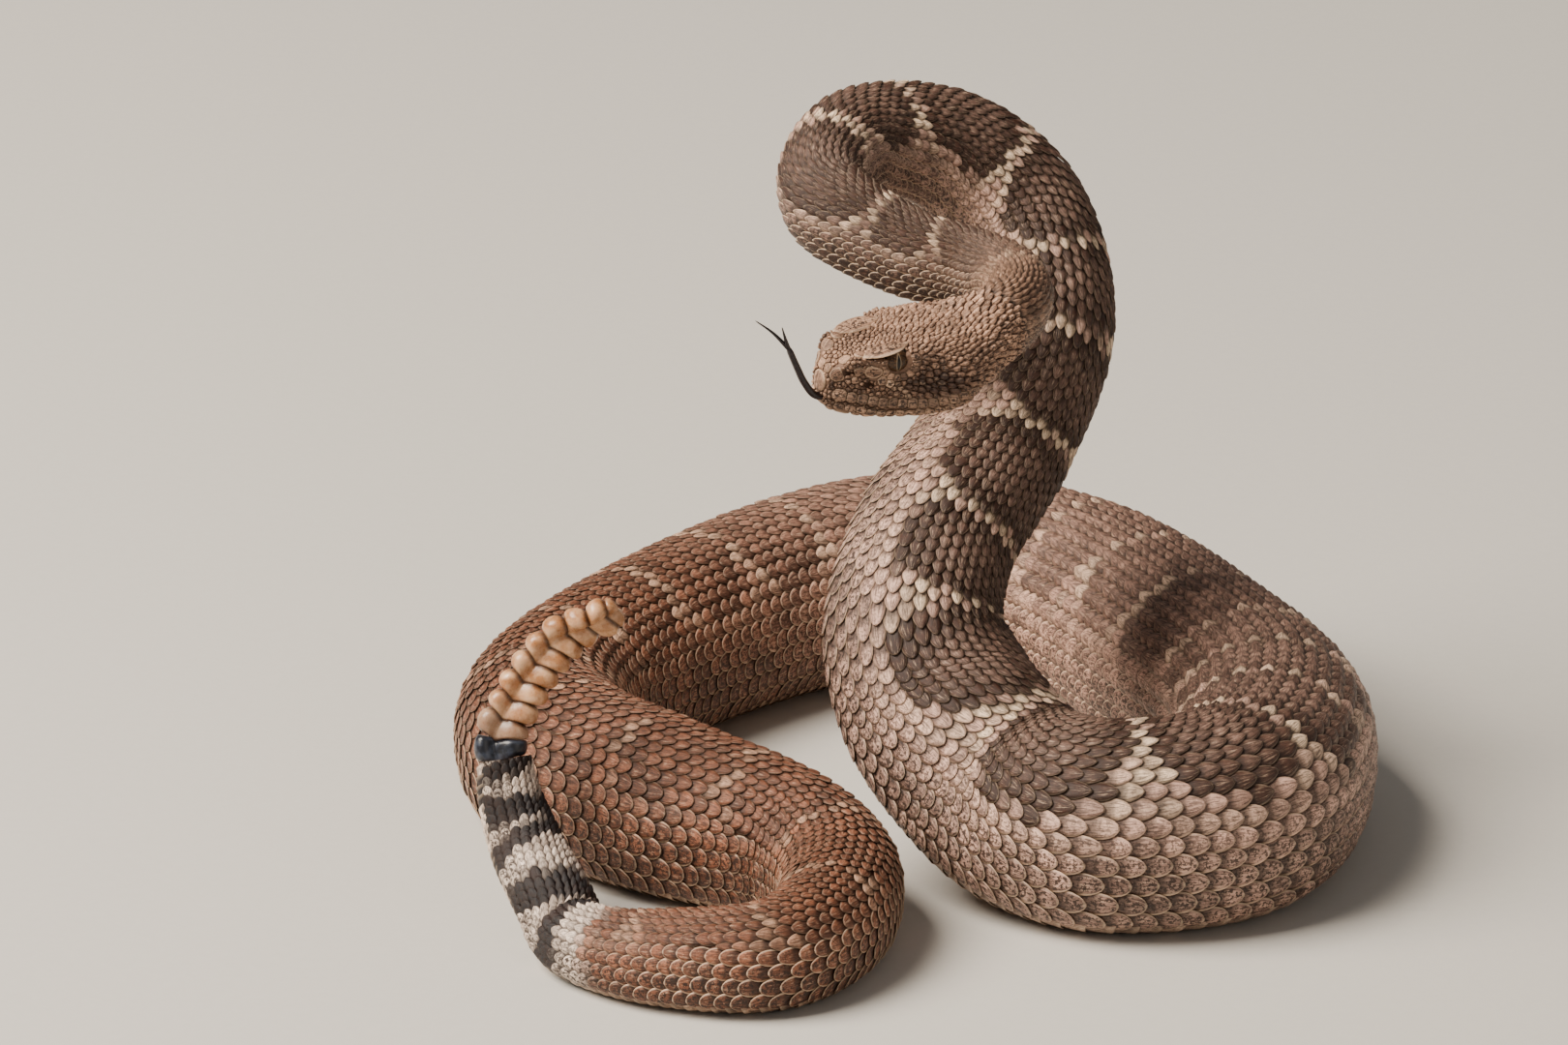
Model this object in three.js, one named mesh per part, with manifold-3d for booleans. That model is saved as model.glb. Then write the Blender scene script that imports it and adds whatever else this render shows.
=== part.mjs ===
// Western diamondback rattlesnake, life size, coiled on the ground with its head and rattle raised.
// Millimetres, +Z up. The belly lies on z = 0, and the origin is under the middle of the animal.
import * as THREE from "three";
import { mergeVertices } from "three/addons/utils/BufferGeometryUtils.js";
import Module from "manifold-3d";

const wasm = await Module();
wasm.setup();

const GAP = 0.3; // between two pieces that meet
const HALF_TURN = Math.PI;
const degrees = THREE.MathUtils.degToRad;
const CENTRING = [-0.2, -0.6, 0]; // brings the middle of the animal over the origin

// The middle line of the body, from the root of the rattle to the head: x, y and height.
// Height 0 says that the belly lies on the ground there.
const BODY_ROUTE = [
  [-96.5, -62.5, 38.6], [-95, -66, 30], [-91, -72.5, 21], [-84, -88, 13.5], [-75, -103, 0],
  [-60, -113, 0], [-36, -116, 0], [-23, -103, 0], [-18, -78, 0], [-26, -62, 0], [-56, -44, 0],
  [-80, -22, 0], [-89, 1, 0], [-85, 27, 0], [-59, 64, 0], [-22, 96, 0],
  [11, 104, 0], [43, 84, 0], [69, 40, 0], [86, -8, 0], [73, -54, 0],
  [46, -63, 0], [16, -42, 30], [6, -31, 42], [1, -22, 56], [6, -7, 73],
  [21, 13, 91], [31.3, 29, 116], [25, 43, 139.6], [8.1, 43, 154.9], [-14.3, 29, 161.2],
  [-21, 8, 154], [-2, -6, 145], [12.5, -11, 142.5], [20, -18, 142], [23, -28, 142],
  [22, -37.5, 141.4], [17.5, -45, 140],
];

// Half the height of the body at places along it, in mm from the root of the rattle.
const GIRTH = [
  [0, 6.1], [20, 8.1], [60, 8.9], [90, 11.2], [125, 13], [155, 14.9], [190, 19], [225, 20.8],
  [290, 20.8], [345, 22.6], [415, 24.8], [560, 24.2], [650, 23.6], [700, 22.2], [730, 19],
  [770, 17.4], [830, 16.2], [880, 12.2], [935, 9.8], [970, 8.4], [1010, 7.5],
];

// The way that the back faces at places along the body; up wherever it lies on the ground.
const BACK = [
  [0, 0.95, 0.1, 0.3], [25, 0.7, 0.2, 0.7], [60, 0.1, 0.1, 1], [640, 0, 0, 1], [672, 0.4, 0, 0.9],
  [705, 0.67, -0.6, 0.4], [760, 0.6, -0.75, 0.2], [805, 0.75, -0.65, 0.2], [835, 0.65, -0.4, 0.6],
  [862, 0.25, -0.4, 0.9], [890, -0.1, -0.4, 0.9], [915, -0.2, -0.1, 1], [945, 0.1, -0.2, 1],
  [975, 0.2, -0.6, 0.8], [995, 0, -0.2, 1],
];

const SETTLE = 0.962; // height of the middle over the ground, against half the body's height
const LIFT_SOFT = 0.2; // how gently the body leaves the ground, against half its height
const WIDER = 1.03; // width of the body against its height
const BACK_ROUND = 1.95; // exponents of the section: a low ridge above, and a flat belly
const BELLY_FLAT = 3;
const SIDES = 20;
const BEND_SHARE = 0.9; // skin inside a tight bend reaches this far towards the bend's centre
const PLATE_PITCH = 11; // belly plates
const PLATE_RISE = 0.7;
const PLATE_STEP = 0.06; // share of a plate's length that its hind edge takes
const FIRST_PLATE_STEP = 0.16; // the same on the first plate of a length, past its end face
const PLATE_REACH = 0.82; // belly plates stand out in full from this far round, of half a turn,
const PLATE_FLAT = 0.62; // and not at all before this

// The lengths of the body, each named, with the place where it ends.
const BODY_LENGTHS = [
  ["tail", 86], ["hind_turn", 172], ["hind_body", 236], ["left_turn", 312], ["rear_left_body", 400],
  ["rear_right_body", 490], ["right_turn", 578], ["front_body", 652], ["rising_body", 716],
  ["raised_body", 790], ["arch", 852], ["neck_loop", 912], ["neck", null],
];

// The rattle's middle line, from a little way above the tail.
const RATTLE_ROUTE = [[-94, -59, 50.5], [-88.6, -57.4, 59.5], [-81.8, -56.4, 67], [-71.7, -56.4, 72.3]];
const RATTLE = {
  segments: 8,
  pitch: 5.1,
  base: 5.4, // length of the black segment next to the tail, which starts straight
  straight: 5,
  height: 6.2, // half of it, along the back-to-belly line
  thickness: 3.9, // half of it, from side to side
  squareness: [0.8, 0.9], // exponents of its section, from side to side and from back to belly
  bead: [[0.06, 0.8], [0.24, 0.97], [0.6, 1], [0.92, 0.9]], // share along a bead, girth there
  tip: [[0.1, 0.72], [0.4, 0.35]], // the same past the last bead
  root: [0, 0.12, 0.3, 0.7, 1], // shares along the black segment
  rootGirth: 0.86, // girth at its ends,
  rootSwell: 0.16, // and what its middle adds
  end: 0.86, // girth of the last segment against the first
  groove: 0.8, // depth of the groove down each side
  grooveAt: 1.75, // radians round from the back
  grooveWide: 0.32,
  sides: 16,
};

// The head, in its own frame: +X towards the snout, +Z up, and the origin at the tip of the snout.
const HEAD = {
  tip: [-23, -65.8, 133.7],
  yaw: 210.1,
  pitch: 3.2,
  roll: -9.7,
  sides: 28,
  // Distance behind the tip, half width, top, bottom, and height of the widest place.
  sections: [
    [0.05, 2.1, 0.5, -4.6, -1.8],
    [0.6, 3.2, 2.1, -6, -1.4],
    [2, 4.2, 4.1, -7.2, -0.9],
    [4.5, 6, 6, -8.2, -0.6],
    [8.5, 8.2, 6.8, -9.2, -0.7],
    [13, 9.7, 6.9, -10.1, -1.1],
    [17.5, 11, 8, -10.8, -1.5],
    [22, 12.8, 8.4, -11.3, -1.9],
    [27, 14.8, 8.2, -11.3, -2],
    [32, 15.7, 7.8, -10.5, -1.7],
    [36.5, 14, 7.6, -7.8, -0.7],
  ],
  square: [4.4, 2.3], // exponent of the section at the snout and at the back of the head
  backReach: 2.6, // how strongly the cheeks carry on before they turn in to the neck
  backRings: 6,
};
const EYE = { at: [-15.4, 8.1, 5.2], radius: 2.8, faces: [20, 14] };
const BROW = { at: [-13.4, 6.7, 7.4], half: [6.1, 2.7, 1], tilt: -4, lift: 5 };
const NOSTRIL = { at: [-4.2, 6.6, 3.3], half: [1.2, 1.3, 0.9] };
const HEAT_PIT = { at: [-8.5, 8.8, 0.1], half: [1.7, 1.9, 1.1] };
const LIP = { width: 1.5, rise: 0.45 };
// The ridge from the snout to the brow: its angle from the top, its width, and how far it stands out.
const RIDGE = { angle: 0.86, width: 0.3, rise: 1.1, from: 1, full: 5, fade: 20, to: 27 };
// The line of the mouth seen from the side, from in front of the snout to the corner, then down.
const MOUTH = [
  [4, -3.9], [-1, -3.9], [-3.3, -4.5], [-7, -5.1], [-12, -6.4], [-17, -7.1], [-23, -7.3], [-28, -6.3],
  [-36.5, -4.6],
];
const TUBE_STEPS = 4; // steps between two points of a tube's line
const BALL_FACES = [14, 10]; // round and down a ball
const MOUTH_STEP = 2;
const CURVE_DIVISIONS = 3000;
const TONGUE = {
  stem: [
    [-7, 0, -4.9], [-2.4, 0.6, -4.7], [1.7, 1.3, -3.2], [4.8, 1.5, 0.9], [7, 1.5, 5.5], [9.7, 1.5, 11.7],
  ],
  nearTine: [[9.5, 1.5, 11], [10.9, 2.1, 14.5], [12, 2.5, 17.6]],
  farTine: [[9.5, 1.5, 11], [13.2, 0.4, 15.4], [17.1, -1, 18.8]],
  half: [1.25, 0.75], // half width and half thickness of the stem
  stemTaper: 0.35, // how much of the half width the stem loses
  tineHalf: 0.5,
  tineTaper: 0.75, // share of it that a tine loses
  sides: 10,
  tineSides: 6,
};

const SKIN = { color: 0x8a6f5c, roughness: 0.75, metalness: 0 };
const TAIL_SKIN = { color: 0x9c968d, roughness: 0.75, metalness: 0 };
const RATTLE_HORN = { color: 0xb98457, roughness: 0.35, metalness: 0 };
const BLACK_HORN = { color: 0x23252d, roughness: 0.4, metalness: 0 };
const EYE_CLEAR = { color: 0x3a3028, roughness: 0.1, metalness: 0 };
const TONGUE_SKIN = { color: 0x100c10, roughness: 0.45, metalness: 0 };

// A smooth curve through rows of [place, value, ...], read at one place.
function keyed(rows, place) {
  const last = rows.length - 2;
  let i = 0;
  while (i < last && place > rows[i + 1][0]) i++;
  const slope = (k, c) => {
    const before = rows[Math.max(k - 1, 0)];
    const after = rows[Math.min(k + 1, rows.length - 1)];
    return (after[c] - before[c]) / (after[0] - before[0]);
  };
  const [from, to] = [rows[i], rows[i + 1]];
  const span = to[0] - from[0];
  const t = THREE.MathUtils.clamp((place - from[0]) / span, 0, 1);
  const values = [];
  for (let c = 1; c < from.length; c++) {
    const rise = 3 * (to[c] - from[c]) - span * (2 * slope(i, c) + slope(i + 1, c));
    const fall = 2 * (from[c] - to[c]) + span * (slope(i, c) + slope(i + 1, c));
    values.push(from[c] + t * (span * slope(i, c) + t * (rise + t * fall)));
  }
  return values;
}

function curveThrough(points) {
  const curve = new THREE.CatmullRomCurve3(
    points.map((p) => new THREE.Vector3(...p)),
    false,
    "centripetal",
  );
  curve.arcLengthDivisions = CURVE_DIVISIONS;
  return curve;
}

const bodyCurve = curveThrough(BODY_ROUTE);
const BODY_LENGTH = bodyCurve.getLength();

function girth(place) {
  return keyed(GIRTH, place)[0];
}

// The middle of the body, lifted so that its belly rests on the ground where it lies on it.
function middle(place) {
  const point = bodyCurve.getPointAt(THREE.MathUtils.clamp(place / BODY_LENGTH, 0, 1));
  const resting = SETTLE * girth(place);
  const soft = LIFT_SOFT * girth(place);
  point.z = resting + soft * Math.log1p(Math.exp((point.z - resting) / soft));
  return point;
}

// The body's frame at a place: its middle, the way to the head, the back, and the left side.
function bodyFrame(place) {
  const step = 1;
  const [low, high] = [Math.max(place - step, 0), Math.min(place + step, BODY_LENGTH)];
  const [a, b] = [middle(low), middle(high)];
  const ahead = b.clone().sub(a).normalize();
  const back = new THREE.Vector3(...keyed(BACK, place));
  back.addScaledVector(ahead, -back.dot(ahead)).normalize();
  const left = new THREE.Vector3().crossVectors(back, ahead);
  return { at: middle(place), ahead, back, left };
}

// How the middle line bends at a place: the way to the bend's centre, and its radius.
function bend(place) {
  const step = 6;
  const clamp = (s) => THREE.MathUtils.clamp(s, step, BODY_LENGTH - step);
  const s = clamp(place);
  const [a, b, c] = [middle(s - step), middle(s), middle(s + step)];
  const turn = a.add(c).addScaledVector(b, -2);
  return { towards: turn.clone().normalize(), radius: (step * step) / Math.max(turn.length(), 1e-6) };
}

function power(value, exponent) {
  return Math.sign(value) * Math.abs(value) ** exponent;
}

// One ring of the body's skin. Plates lift the belly by rise, and nothing goes under the ground.
function bodyRing(place, sides, rise, shift = 0) {
  const { at, ahead, back, left } = bodyFrame(place);
  const { towards, radius } = bend(place);
  const half = girth(place);
  const most = BEND_SHARE * radius;
  const ring = [];
  for (let i = 0; i < sides; i++) {
    const angle = (2 * HALF_TURN * i) / sides;
    const exponent = 2 / (Math.cos(angle) >= 0 ? BACK_ROUND : BELLY_FLAT);
    const round = Math.abs(angle - HALF_TURN) / HALF_TURN;
    const under = rise * (1 - THREE.MathUtils.smoothstep(round, 1 - PLATE_REACH, 1 - PLATE_FLAT));
    const offset = new THREE.Vector3()
      .addScaledVector(left, WIDER * half * power(Math.sin(angle), exponent))
      .addScaledVector(back, half * power(Math.cos(angle), exponent));
    offset.addScaledVector(offset.clone().normalize(), under);
    const inward = offset.dot(towards);
    if (inward > most) offset.addScaledVector(towards, most - inward);
    const point = offset.add(at).addScaledVector(ahead, shift);
    point.z = Math.max(point.z, 0);
    ring.push(point);
  }
  return ring;
}

// A closed solid through rings of equally many points, with a fan over each end.
function loft(rings) {
  const sides = rings[0].length;
  const centre = (ring) =>
    ring.reduce((sum, p) => sum.add(p), new THREE.Vector3()).divideScalar(sides);
  const points = [...rings.flat(), centre(rings[0]), centre(rings.at(-1))];
  const faces = [];
  for (let r = 0; r + 1 < rings.length; r++) {
    for (let i = 0; i < sides; i++) {
      const [a, b] = [r * sides + i, r * sides + ((i + 1) % sides)];
      faces.push(a, b + sides, b, a, a + sides, b + sides);
    }
  }
  const [first, last, top] = [points.length - 2, points.length - 1, (rings.length - 1) * sides];
  for (let i = 0; i < sides; i++) {
    const j = (i + 1) % sides;
    faces.push(first, i, j, last, top + j, top + i);
  }
  const geometry = new THREE.BufferGeometry().setFromPoints(points);
  geometry.setIndex(faces);
  return geometry;
}

function toSolid(geometry) {
  const bare = geometry.clone();
  bare.deleteAttribute("normal");
  bare.deleteAttribute("uv");
  const merged = mergeVertices(bare, 1e-4);
  return new wasm.Manifold(
    new wasm.Mesh({
      numProp: 3,
      vertProperties: new Float32Array(merged.attributes.position.array),
      triVerts: new Uint32Array(merged.index.array),
    }),
  );
}

function toGeometry(solid) {
  const mesh = solid.getMesh();
  const geometry = new THREE.BufferGeometry();
  geometry.setAttribute("position", new THREE.BufferAttribute(mesh.vertProperties, 3));
  geometry.setIndex(new THREE.BufferAttribute(mesh.triVerts, 1));
  return geometry;
}

function largest(solid) {
  return solid.decompose().sort((a, b) => b.volume() - a.volume())[0];
}

function named(name, geometry, finish) {
  const mesh = new THREE.Mesh(geometry, new THREE.MeshStandardMaterial(finish));
  mesh.name = name;
  return mesh;
}

// Points round a flattened section, in the plane that left and back span.
function ovalRing({ at, left, back }, halfLeft, halfBack, sides) {
  const ring = [];
  for (let i = 0; i < sides; i++) {
    const angle = (2 * HALF_TURN * i) / sides;
    ring.push(
      at
        .clone()
        .addScaledVector(left, halfLeft * Math.sin(angle))
        .addScaledVector(back, halfBack * Math.cos(angle)),
    );
  }
  return ring;
}

// A length of the body, with its belly plates: each is low at its front and stands out at its rear.
function bodyLength(from, to) {
  const rings = [bodyRing(from, SIDES, 0, GAP / 2)];
  const plates = Math.max(1, Math.round((to - from) / PLATE_PITCH));
  const pitch = (to - from) / plates;
  for (let plate = 0; plate < plates; plate++) {
    const start = from + plate * pitch;
    const share = plate === 0 ? FIRST_PLATE_STEP : PLATE_STEP;
    rings.push(bodyRing(start + share * pitch, SIDES, PLATE_RISE));
    if (plate < plates - 1) rings.push(bodyRing(start + pitch, SIDES, 0));
  }
  rings.push(bodyRing(to, SIDES, 0, -GAP / 2));
  return loft(rings);
}

function makeBody() {
  const body = new THREE.Group();
  let from = 0;
  for (const [name, end] of BODY_LENGTHS) {
    const to = end ?? BODY_LENGTH;
    body.add(named(name, bodyLength(from, to), name === "tail" ? TAIL_SKIN : SKIN));
    from = to;
  }
  return body;
}

// A ring of the rattle: flattened from side to side, with a groove down each side.
function rattleRing(curve, place, scale) {
  const u = THREE.MathUtils.clamp(place / curve.getLength(), 0, 1);
  const { height, thickness, sides, squareness, groove, grooveAt, grooveWide } = RATTLE;
  const at = curve.getPointAt(u);
  const ahead = curve.getTangentAt(u);
  const back = new THREE.Vector3(...BACK[0].slice(1));
  back.addScaledVector(ahead, -back.dot(ahead)).normalize();
  const left = new THREE.Vector3().crossVectors(ahead, back);
  const ring = [];
  for (let i = 0; i < sides; i++) {
    const angle = (2 * HALF_TURN * i) / sides;
    const off = (HALF_TURN - Math.abs(HALF_TURN - angle) - grooveAt) / grooveWide;
    const dent = groove * Math.exp(-off * off);
    const side = power(Math.sin(angle), squareness[0]) * (thickness - dent);
    ring.push(
      at
        .clone()
        .addScaledVector(left, -scale * side)
        .addScaledVector(back, scale * height * power(Math.cos(angle), squareness[1])),
    );
  }
  return ring;
}

// One bead of the rattle after another, each with a round rim that stands over the next one's root.
function rattleBeads(curve) {
  const { segments, pitch, base, end } = RATTLE;
  const rings = [];
  for (let bead = 0; bead < segments; bead++) {
    const scale = THREE.MathUtils.lerp(1, end, bead / (segments - 1));
    for (const [share, girthShare] of RATTLE.bead) {
      rings.push(rattleRing(curve, base + (bead + share) * pitch, scale * girthShare));
    }
  }
  for (const [share, girthShare] of RATTLE.tip) {
    rings.push(rattleRing(curve, base + (segments + share) * pitch, end * girthShare));
  }
  return loft(rings);
}

function makeRattle() {
  const { base, straight, root, rootGirth, rootSwell } = RATTLE;
  const { at, ahead } = bodyFrame(0);
  const start = at.clone().addScaledVector(ahead, -GAP / 2);
  const straightEnd = start.clone().addScaledVector(ahead, -straight);
  const curve = curveThrough([start.toArray(), straightEnd.toArray(), ...RATTLE_ROUTE]);
  const black = root.map((share) =>
    rattleRing(curve, share * (base - 2 * GAP), rootGirth + rootSwell * Math.sin(HALF_TURN * share)),
  );
  const rattle = new THREE.Group();
  rattle.add(named("rattle_base", loft(black), BLACK_HORN));
  rattle.add(named("rattle", rattleBeads(curve), RATTLE_HORN));
  return rattle;
}

// The frame of the head as a matrix, and the neck's last ring seen from the head.
function headMatrix() {
  const turn = new THREE.Euler(degrees(HEAD.roll), degrees(HEAD.pitch), degrees(HEAD.yaw), "ZYX");
  return new THREE.Matrix4()
    .makeRotationFromEuler(turn)
    .setPosition(new THREE.Vector3(...HEAD.tip));
}

function mouthHeight(x) {
  const rows = MOUTH.map(([along, height]) => [-along, height]);
  return keyed(rows, -x)[0];
}

function headRing([behind, half, top, bottom, widest]) {
  const depth = THREE.MathUtils.smoothstep(behind, 2, HEAD.sections.at(-1)[0]);
  const exponent = 2 / THREE.MathUtils.lerp(...HEAD.square, depth);
  const ridgeRise =
    RIDGE.rise *
    THREE.MathUtils.smoothstep(behind, RIDGE.from, RIDGE.full) *
    (1 - THREE.MathUtils.smoothstep(behind, RIDGE.fade, RIDGE.to));
  const ring = [];
  for (let i = 0; i < HEAD.sides; i++) {
    const angle = (2 * HALF_TURN * i) / HEAD.sides;
    const cosine = power(Math.cos(angle), exponent);
    const z = widest + cosine * (cosine > 0 ? top - widest : widest - bottom);
    const lip = (z - mouthHeight(-behind)) / LIP.width;
    const side = power(Math.sin(angle), exponent);
    const swell = LIP.rise * Math.exp(-lip * lip) * Math.sign(side);
    const point = new THREE.Vector3(-behind, side * half + swell, z);
    const off = (HALF_TURN - Math.abs(HALF_TURN - angle) - RIDGE.angle) / RIDGE.width;
    const ridge = ridgeRise * Math.exp(-off * off);
    ring.push(point.add(new THREE.Vector3(0, Math.sign(side) * ridge, ridge)));
  }
  return ring;
}

// The head's skin: sections from the snout to the cheeks, then a smooth passage to the neck's end.
function headSurface(toHead) {
  const rings = HEAD.sections.map(headRing);
  const cheeks = rings.at(-1);
  const neck = bodyRing(BODY_LENGTH, HEAD.sides, 0, GAP / 2).map((p) => p.applyMatrix4(toHead));
  const ahead = bodyFrame(BODY_LENGTH).ahead.transformDirection(toHead);
  for (let step = 1; step <= HEAD.backRings; step++) {
    const t = step / HEAD.backRings;
    const [leave, arrive] = [t * (1 - t) ** 2, t * t * (1 - t)];
    rings.push(
      cheeks.map((p, i) =>
        p
          .clone()
          .lerp(neck[i], t * t * (3 - 2 * t))
          .add(new THREE.Vector3(-HEAD.backReach * leave, 0, 0))
          .addScaledVector(ahead, HEAD.backReach * arrive),
      ),
    );
  }
  return loft(rings.reverse());
}

function ball(at, half, turn = [0, 0, 0]) {
  const sphere = new THREE.SphereGeometry(1, ...BALL_FACES);
  sphere.scale(...half);
  sphere.applyMatrix4(new THREE.Matrix4().makeRotationFromEuler(new THREE.Euler(...turn)));
  sphere.translate(...at);
  return toSolid(sphere);
}

const bothSides = (make) => [make(1), make(-1)];
const onSide = (at, side) => [at[0], side * at[1], at[2]];

// A thin wall along the line of the mouth that turns down behind its corner.
function mouthCut() {
  const corner = MOUTH.at(-1)[0];
  const reach = 30;
  const line = [];
  for (let x = MOUTH[0][0]; x >= corner; x -= MOUTH_STEP) line.push([x, mouthHeight(x)]);
  const lower = line.map(([x, z]) => [x, z - GAP]).reverse();
  const outline = [...line, [corner - GAP, mouthHeight(corner)], [corner - GAP, -reach]];
  outline.push([corner, -reach], ...lower);
  const shape = new THREE.Shape(outline.map(([x, z]) => new THREE.Vector2(x, z)));
  const wall = new THREE.ExtrudeGeometry(shape, { depth: 2 * reach, bevelEnabled: false });
  wall.rotateX(HALF_TURN / 2);
  wall.translate(0, reach, 0);
  return toSolid(wall);
}

function tube(points, halfAt, sides) {
  const curve = curveThrough(points);
  const steps = TUBE_STEPS * (points.length - 1);
  const rings = [];
  for (let i = 0; i <= steps; i++) {
    const u = i / steps;
    const ahead = curve.getTangentAt(u);
    const left = new THREE.Vector3(0, 1, 0).addScaledVector(ahead, -ahead.y).normalize();
    const back = new THREE.Vector3().crossVectors(ahead, left);
    const [halfLeft, halfBack] = halfAt(u);
    rings.push(ovalRing({ at: curve.getPointAt(u), left, back }, halfLeft, halfBack, sides));
  }
  return toSolid(loft(rings));
}

// The tongue: a flat stem that splits into two tines. Extra makes it thicker, to cut its way out.
function tongueSolid(extra = 0) {
  const { stem, nearTine, farTine, half, stemTaper, tineHalf, tineTaper, sides, tineSides } = TONGUE;
  const stemHalf = (u) => [half[0] + extra - stemTaper * u, half[1] + extra];
  const tine = (u) => Array(2).fill(tineHalf * (1 - tineTaper * u) + extra);
  const tines = [nearTine, farTine].map((line) => tube(line, tine, tineSides));
  const pieces = [tube(stem, stemHalf, sides), ...tines];
  return largest(wasm.Manifold.union(pieces));
}

function makeHead() {
  const place = headMatrix();
  const toHead = place.clone().invert();
  const skin = toSolid(headSurface(toHead));
  const brows = bothSides((side) =>
    ball(onSide(BROW.at, side), BROW.half, [degrees(-side * BROW.tilt), degrees(BROW.lift), 0]),
  );
  const hollows = [
    ...bothSides((side) => ball(onSide(NOSTRIL.at, side), NOSTRIL.half)),
    ...bothSides((side) => ball(onSide(HEAT_PIT.at, side), HEAT_PIT.half)),
    ...bothSides((side) => ball(onSide(EYE.at, side), Array(3).fill(EYE.radius + GAP))),
    mouthCut(),
    tongueSolid(GAP),
  ];
  const cut = wasm.Manifold.union([skin, ...brows]).subtract(wasm.Manifold.union(hollows));
  const [cranium, jaw] = cut.decompose().sort((a, b) => b.volume() - a.volume());

  const head = new THREE.Group();
  head.applyMatrix4(place);
  head.add(named("head", toGeometry(cranium), SKIN));
  head.add(named("lower_jaw", toGeometry(jaw), SKIN));
  for (const [name, side] of [["eye_left", 1], ["eye_right", -1]]) {
    const eye = named(name, new THREE.SphereGeometry(EYE.radius, ...EYE.faces), EYE_CLEAR);
    eye.position.set(...onSide(EYE.at, side));
    head.add(eye);
  }
  head.add(named("tongue", toGeometry(tongueSolid()), TONGUE_SKIN));
  return head;
}

const snake = new THREE.Group();
snake.add(makeBody(), makeRattle(), makeHead());
snake.position.set(...CENTRING);

export default snake;
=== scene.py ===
# %% [markdown]
# # A life-size western diamondback rattlesnake
# A museum model of a snake is a rigid cast with its skin worked on top: a smooth body, thousands of
# overlapping scales, broad plates under the belly, and a head with its own plates, pits and eyes.
# This lesson builds those layers in that order, around solids that already have the right size and pose.

# %% Load the solids that the model is dressed over
import math
from functools import partial

import bpy
import numpy as np
from mathutils import Matrix, Vector
from mathutils.bvhtree import BVHTree


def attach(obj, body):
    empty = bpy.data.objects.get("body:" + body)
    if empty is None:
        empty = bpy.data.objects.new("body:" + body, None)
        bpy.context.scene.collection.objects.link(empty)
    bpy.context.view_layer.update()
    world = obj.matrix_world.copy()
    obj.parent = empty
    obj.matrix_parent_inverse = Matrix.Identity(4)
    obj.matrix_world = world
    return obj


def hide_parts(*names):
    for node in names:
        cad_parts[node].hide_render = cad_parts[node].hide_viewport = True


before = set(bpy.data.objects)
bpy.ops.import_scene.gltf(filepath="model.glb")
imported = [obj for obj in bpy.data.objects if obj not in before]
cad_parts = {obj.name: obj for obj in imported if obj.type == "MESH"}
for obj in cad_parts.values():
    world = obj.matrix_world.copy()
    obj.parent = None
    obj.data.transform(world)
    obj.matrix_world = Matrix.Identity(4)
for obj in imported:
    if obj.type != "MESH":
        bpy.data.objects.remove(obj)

bpy.ops.object.select_all(action="DESELECT")
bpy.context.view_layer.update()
MM = 0.001
CENTRING = np.array([-0.2, -0.6, 0.0])  # the solids' own shift, which keeps the animal over the origin

# %% [markdown]
# ## The camera
# A long lens from two metres away flattens the coil, as in the photograph, and looks a little down.
# The camera comes first, so that every later piece can be judged through it.

# %% Place the camera
CAMERA_TARGET = Vector((-0.0312, 0.2044, 0.0))
CAMERA_DISTANCE = 2.23
CAMERA_DOWN = math.radians(20)
CAMERA_LENS = 193.33  # millimetres, on a sensor 36 mm wide

camera_way = Vector((0, math.cos(CAMERA_DOWN), -math.sin(CAMERA_DOWN)))
bpy.ops.object.camera_add(
    location=CAMERA_TARGET - CAMERA_DISTANCE * camera_way,
    rotation=(math.pi / 2 - CAMERA_DOWN, 0, 0),
)
camera = bpy.context.object
camera.data.lens = CAMERA_LENS
camera.data.sensor_width = 36
bpy.context.scene.camera = camera
print("camera at", tuple(round(x, 3) for x in camera.location))

# %% [markdown]
# ## The line of the body
# A snake is a tube on a curve. The curve is the same one that the solids follow: it starts at the root
# of the rattle, lies in two loops on the ground, rises, arches over and comes back down to the nape.
# Lengths are in millimetres here, and height 0 says that the belly rests on the ground.

# %% The route, the girth and the way that the back faces
BODY_ROUTE = np.array([
    [-96.5, -62.5, 38.6], [-95, -66, 30], [-91, -72.5, 21], [-84, -88, 13.5], [-75, -103, 0],
    [-60, -113, 0], [-36, -116, 0], [-23, -103, 0], [-18, -78, 0], [-26, -62, 0], [-56, -44, 0],
    [-80, -22, 0], [-89, 1, 0], [-85, 27, 0], [-59, 64, 0], [-22, 96, 0],
    [11, 104, 0], [43, 84, 0], [69, 40, 0], [86, -8, 0], [73, -54, 0],
    [46, -63, 0], [16, -42, 30], [6, -31, 42], [1, -22, 56], [6, -7, 73],
    [21, 13, 91], [31.3, 29, 116], [25, 43, 139.6], [8.1, 43, 154.9], [-14.3, 29, 161.2],
    [-21, 8, 154], [-2, -6, 145], [12.5, -11, 142.5], [20, -18, 142], [23, -28, 142],
    [22, -37.5, 141.4], [17.5, -45, 140],
])
GIRTH = np.array([  # place along the body, half its height there
    [0, 6.1], [20, 8.1], [60, 8.9], [90, 11.2], [125, 13], [155, 14.9], [190, 19], [225, 20.8],
    [290, 20.8], [345, 22.6], [415, 24.8], [560, 24.2], [650, 23.6], [700, 22.2], [730, 19],
    [770, 17.4], [830, 16.2], [880, 12.2], [935, 9.8], [970, 8.4], [1010, 7.5],
])
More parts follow.
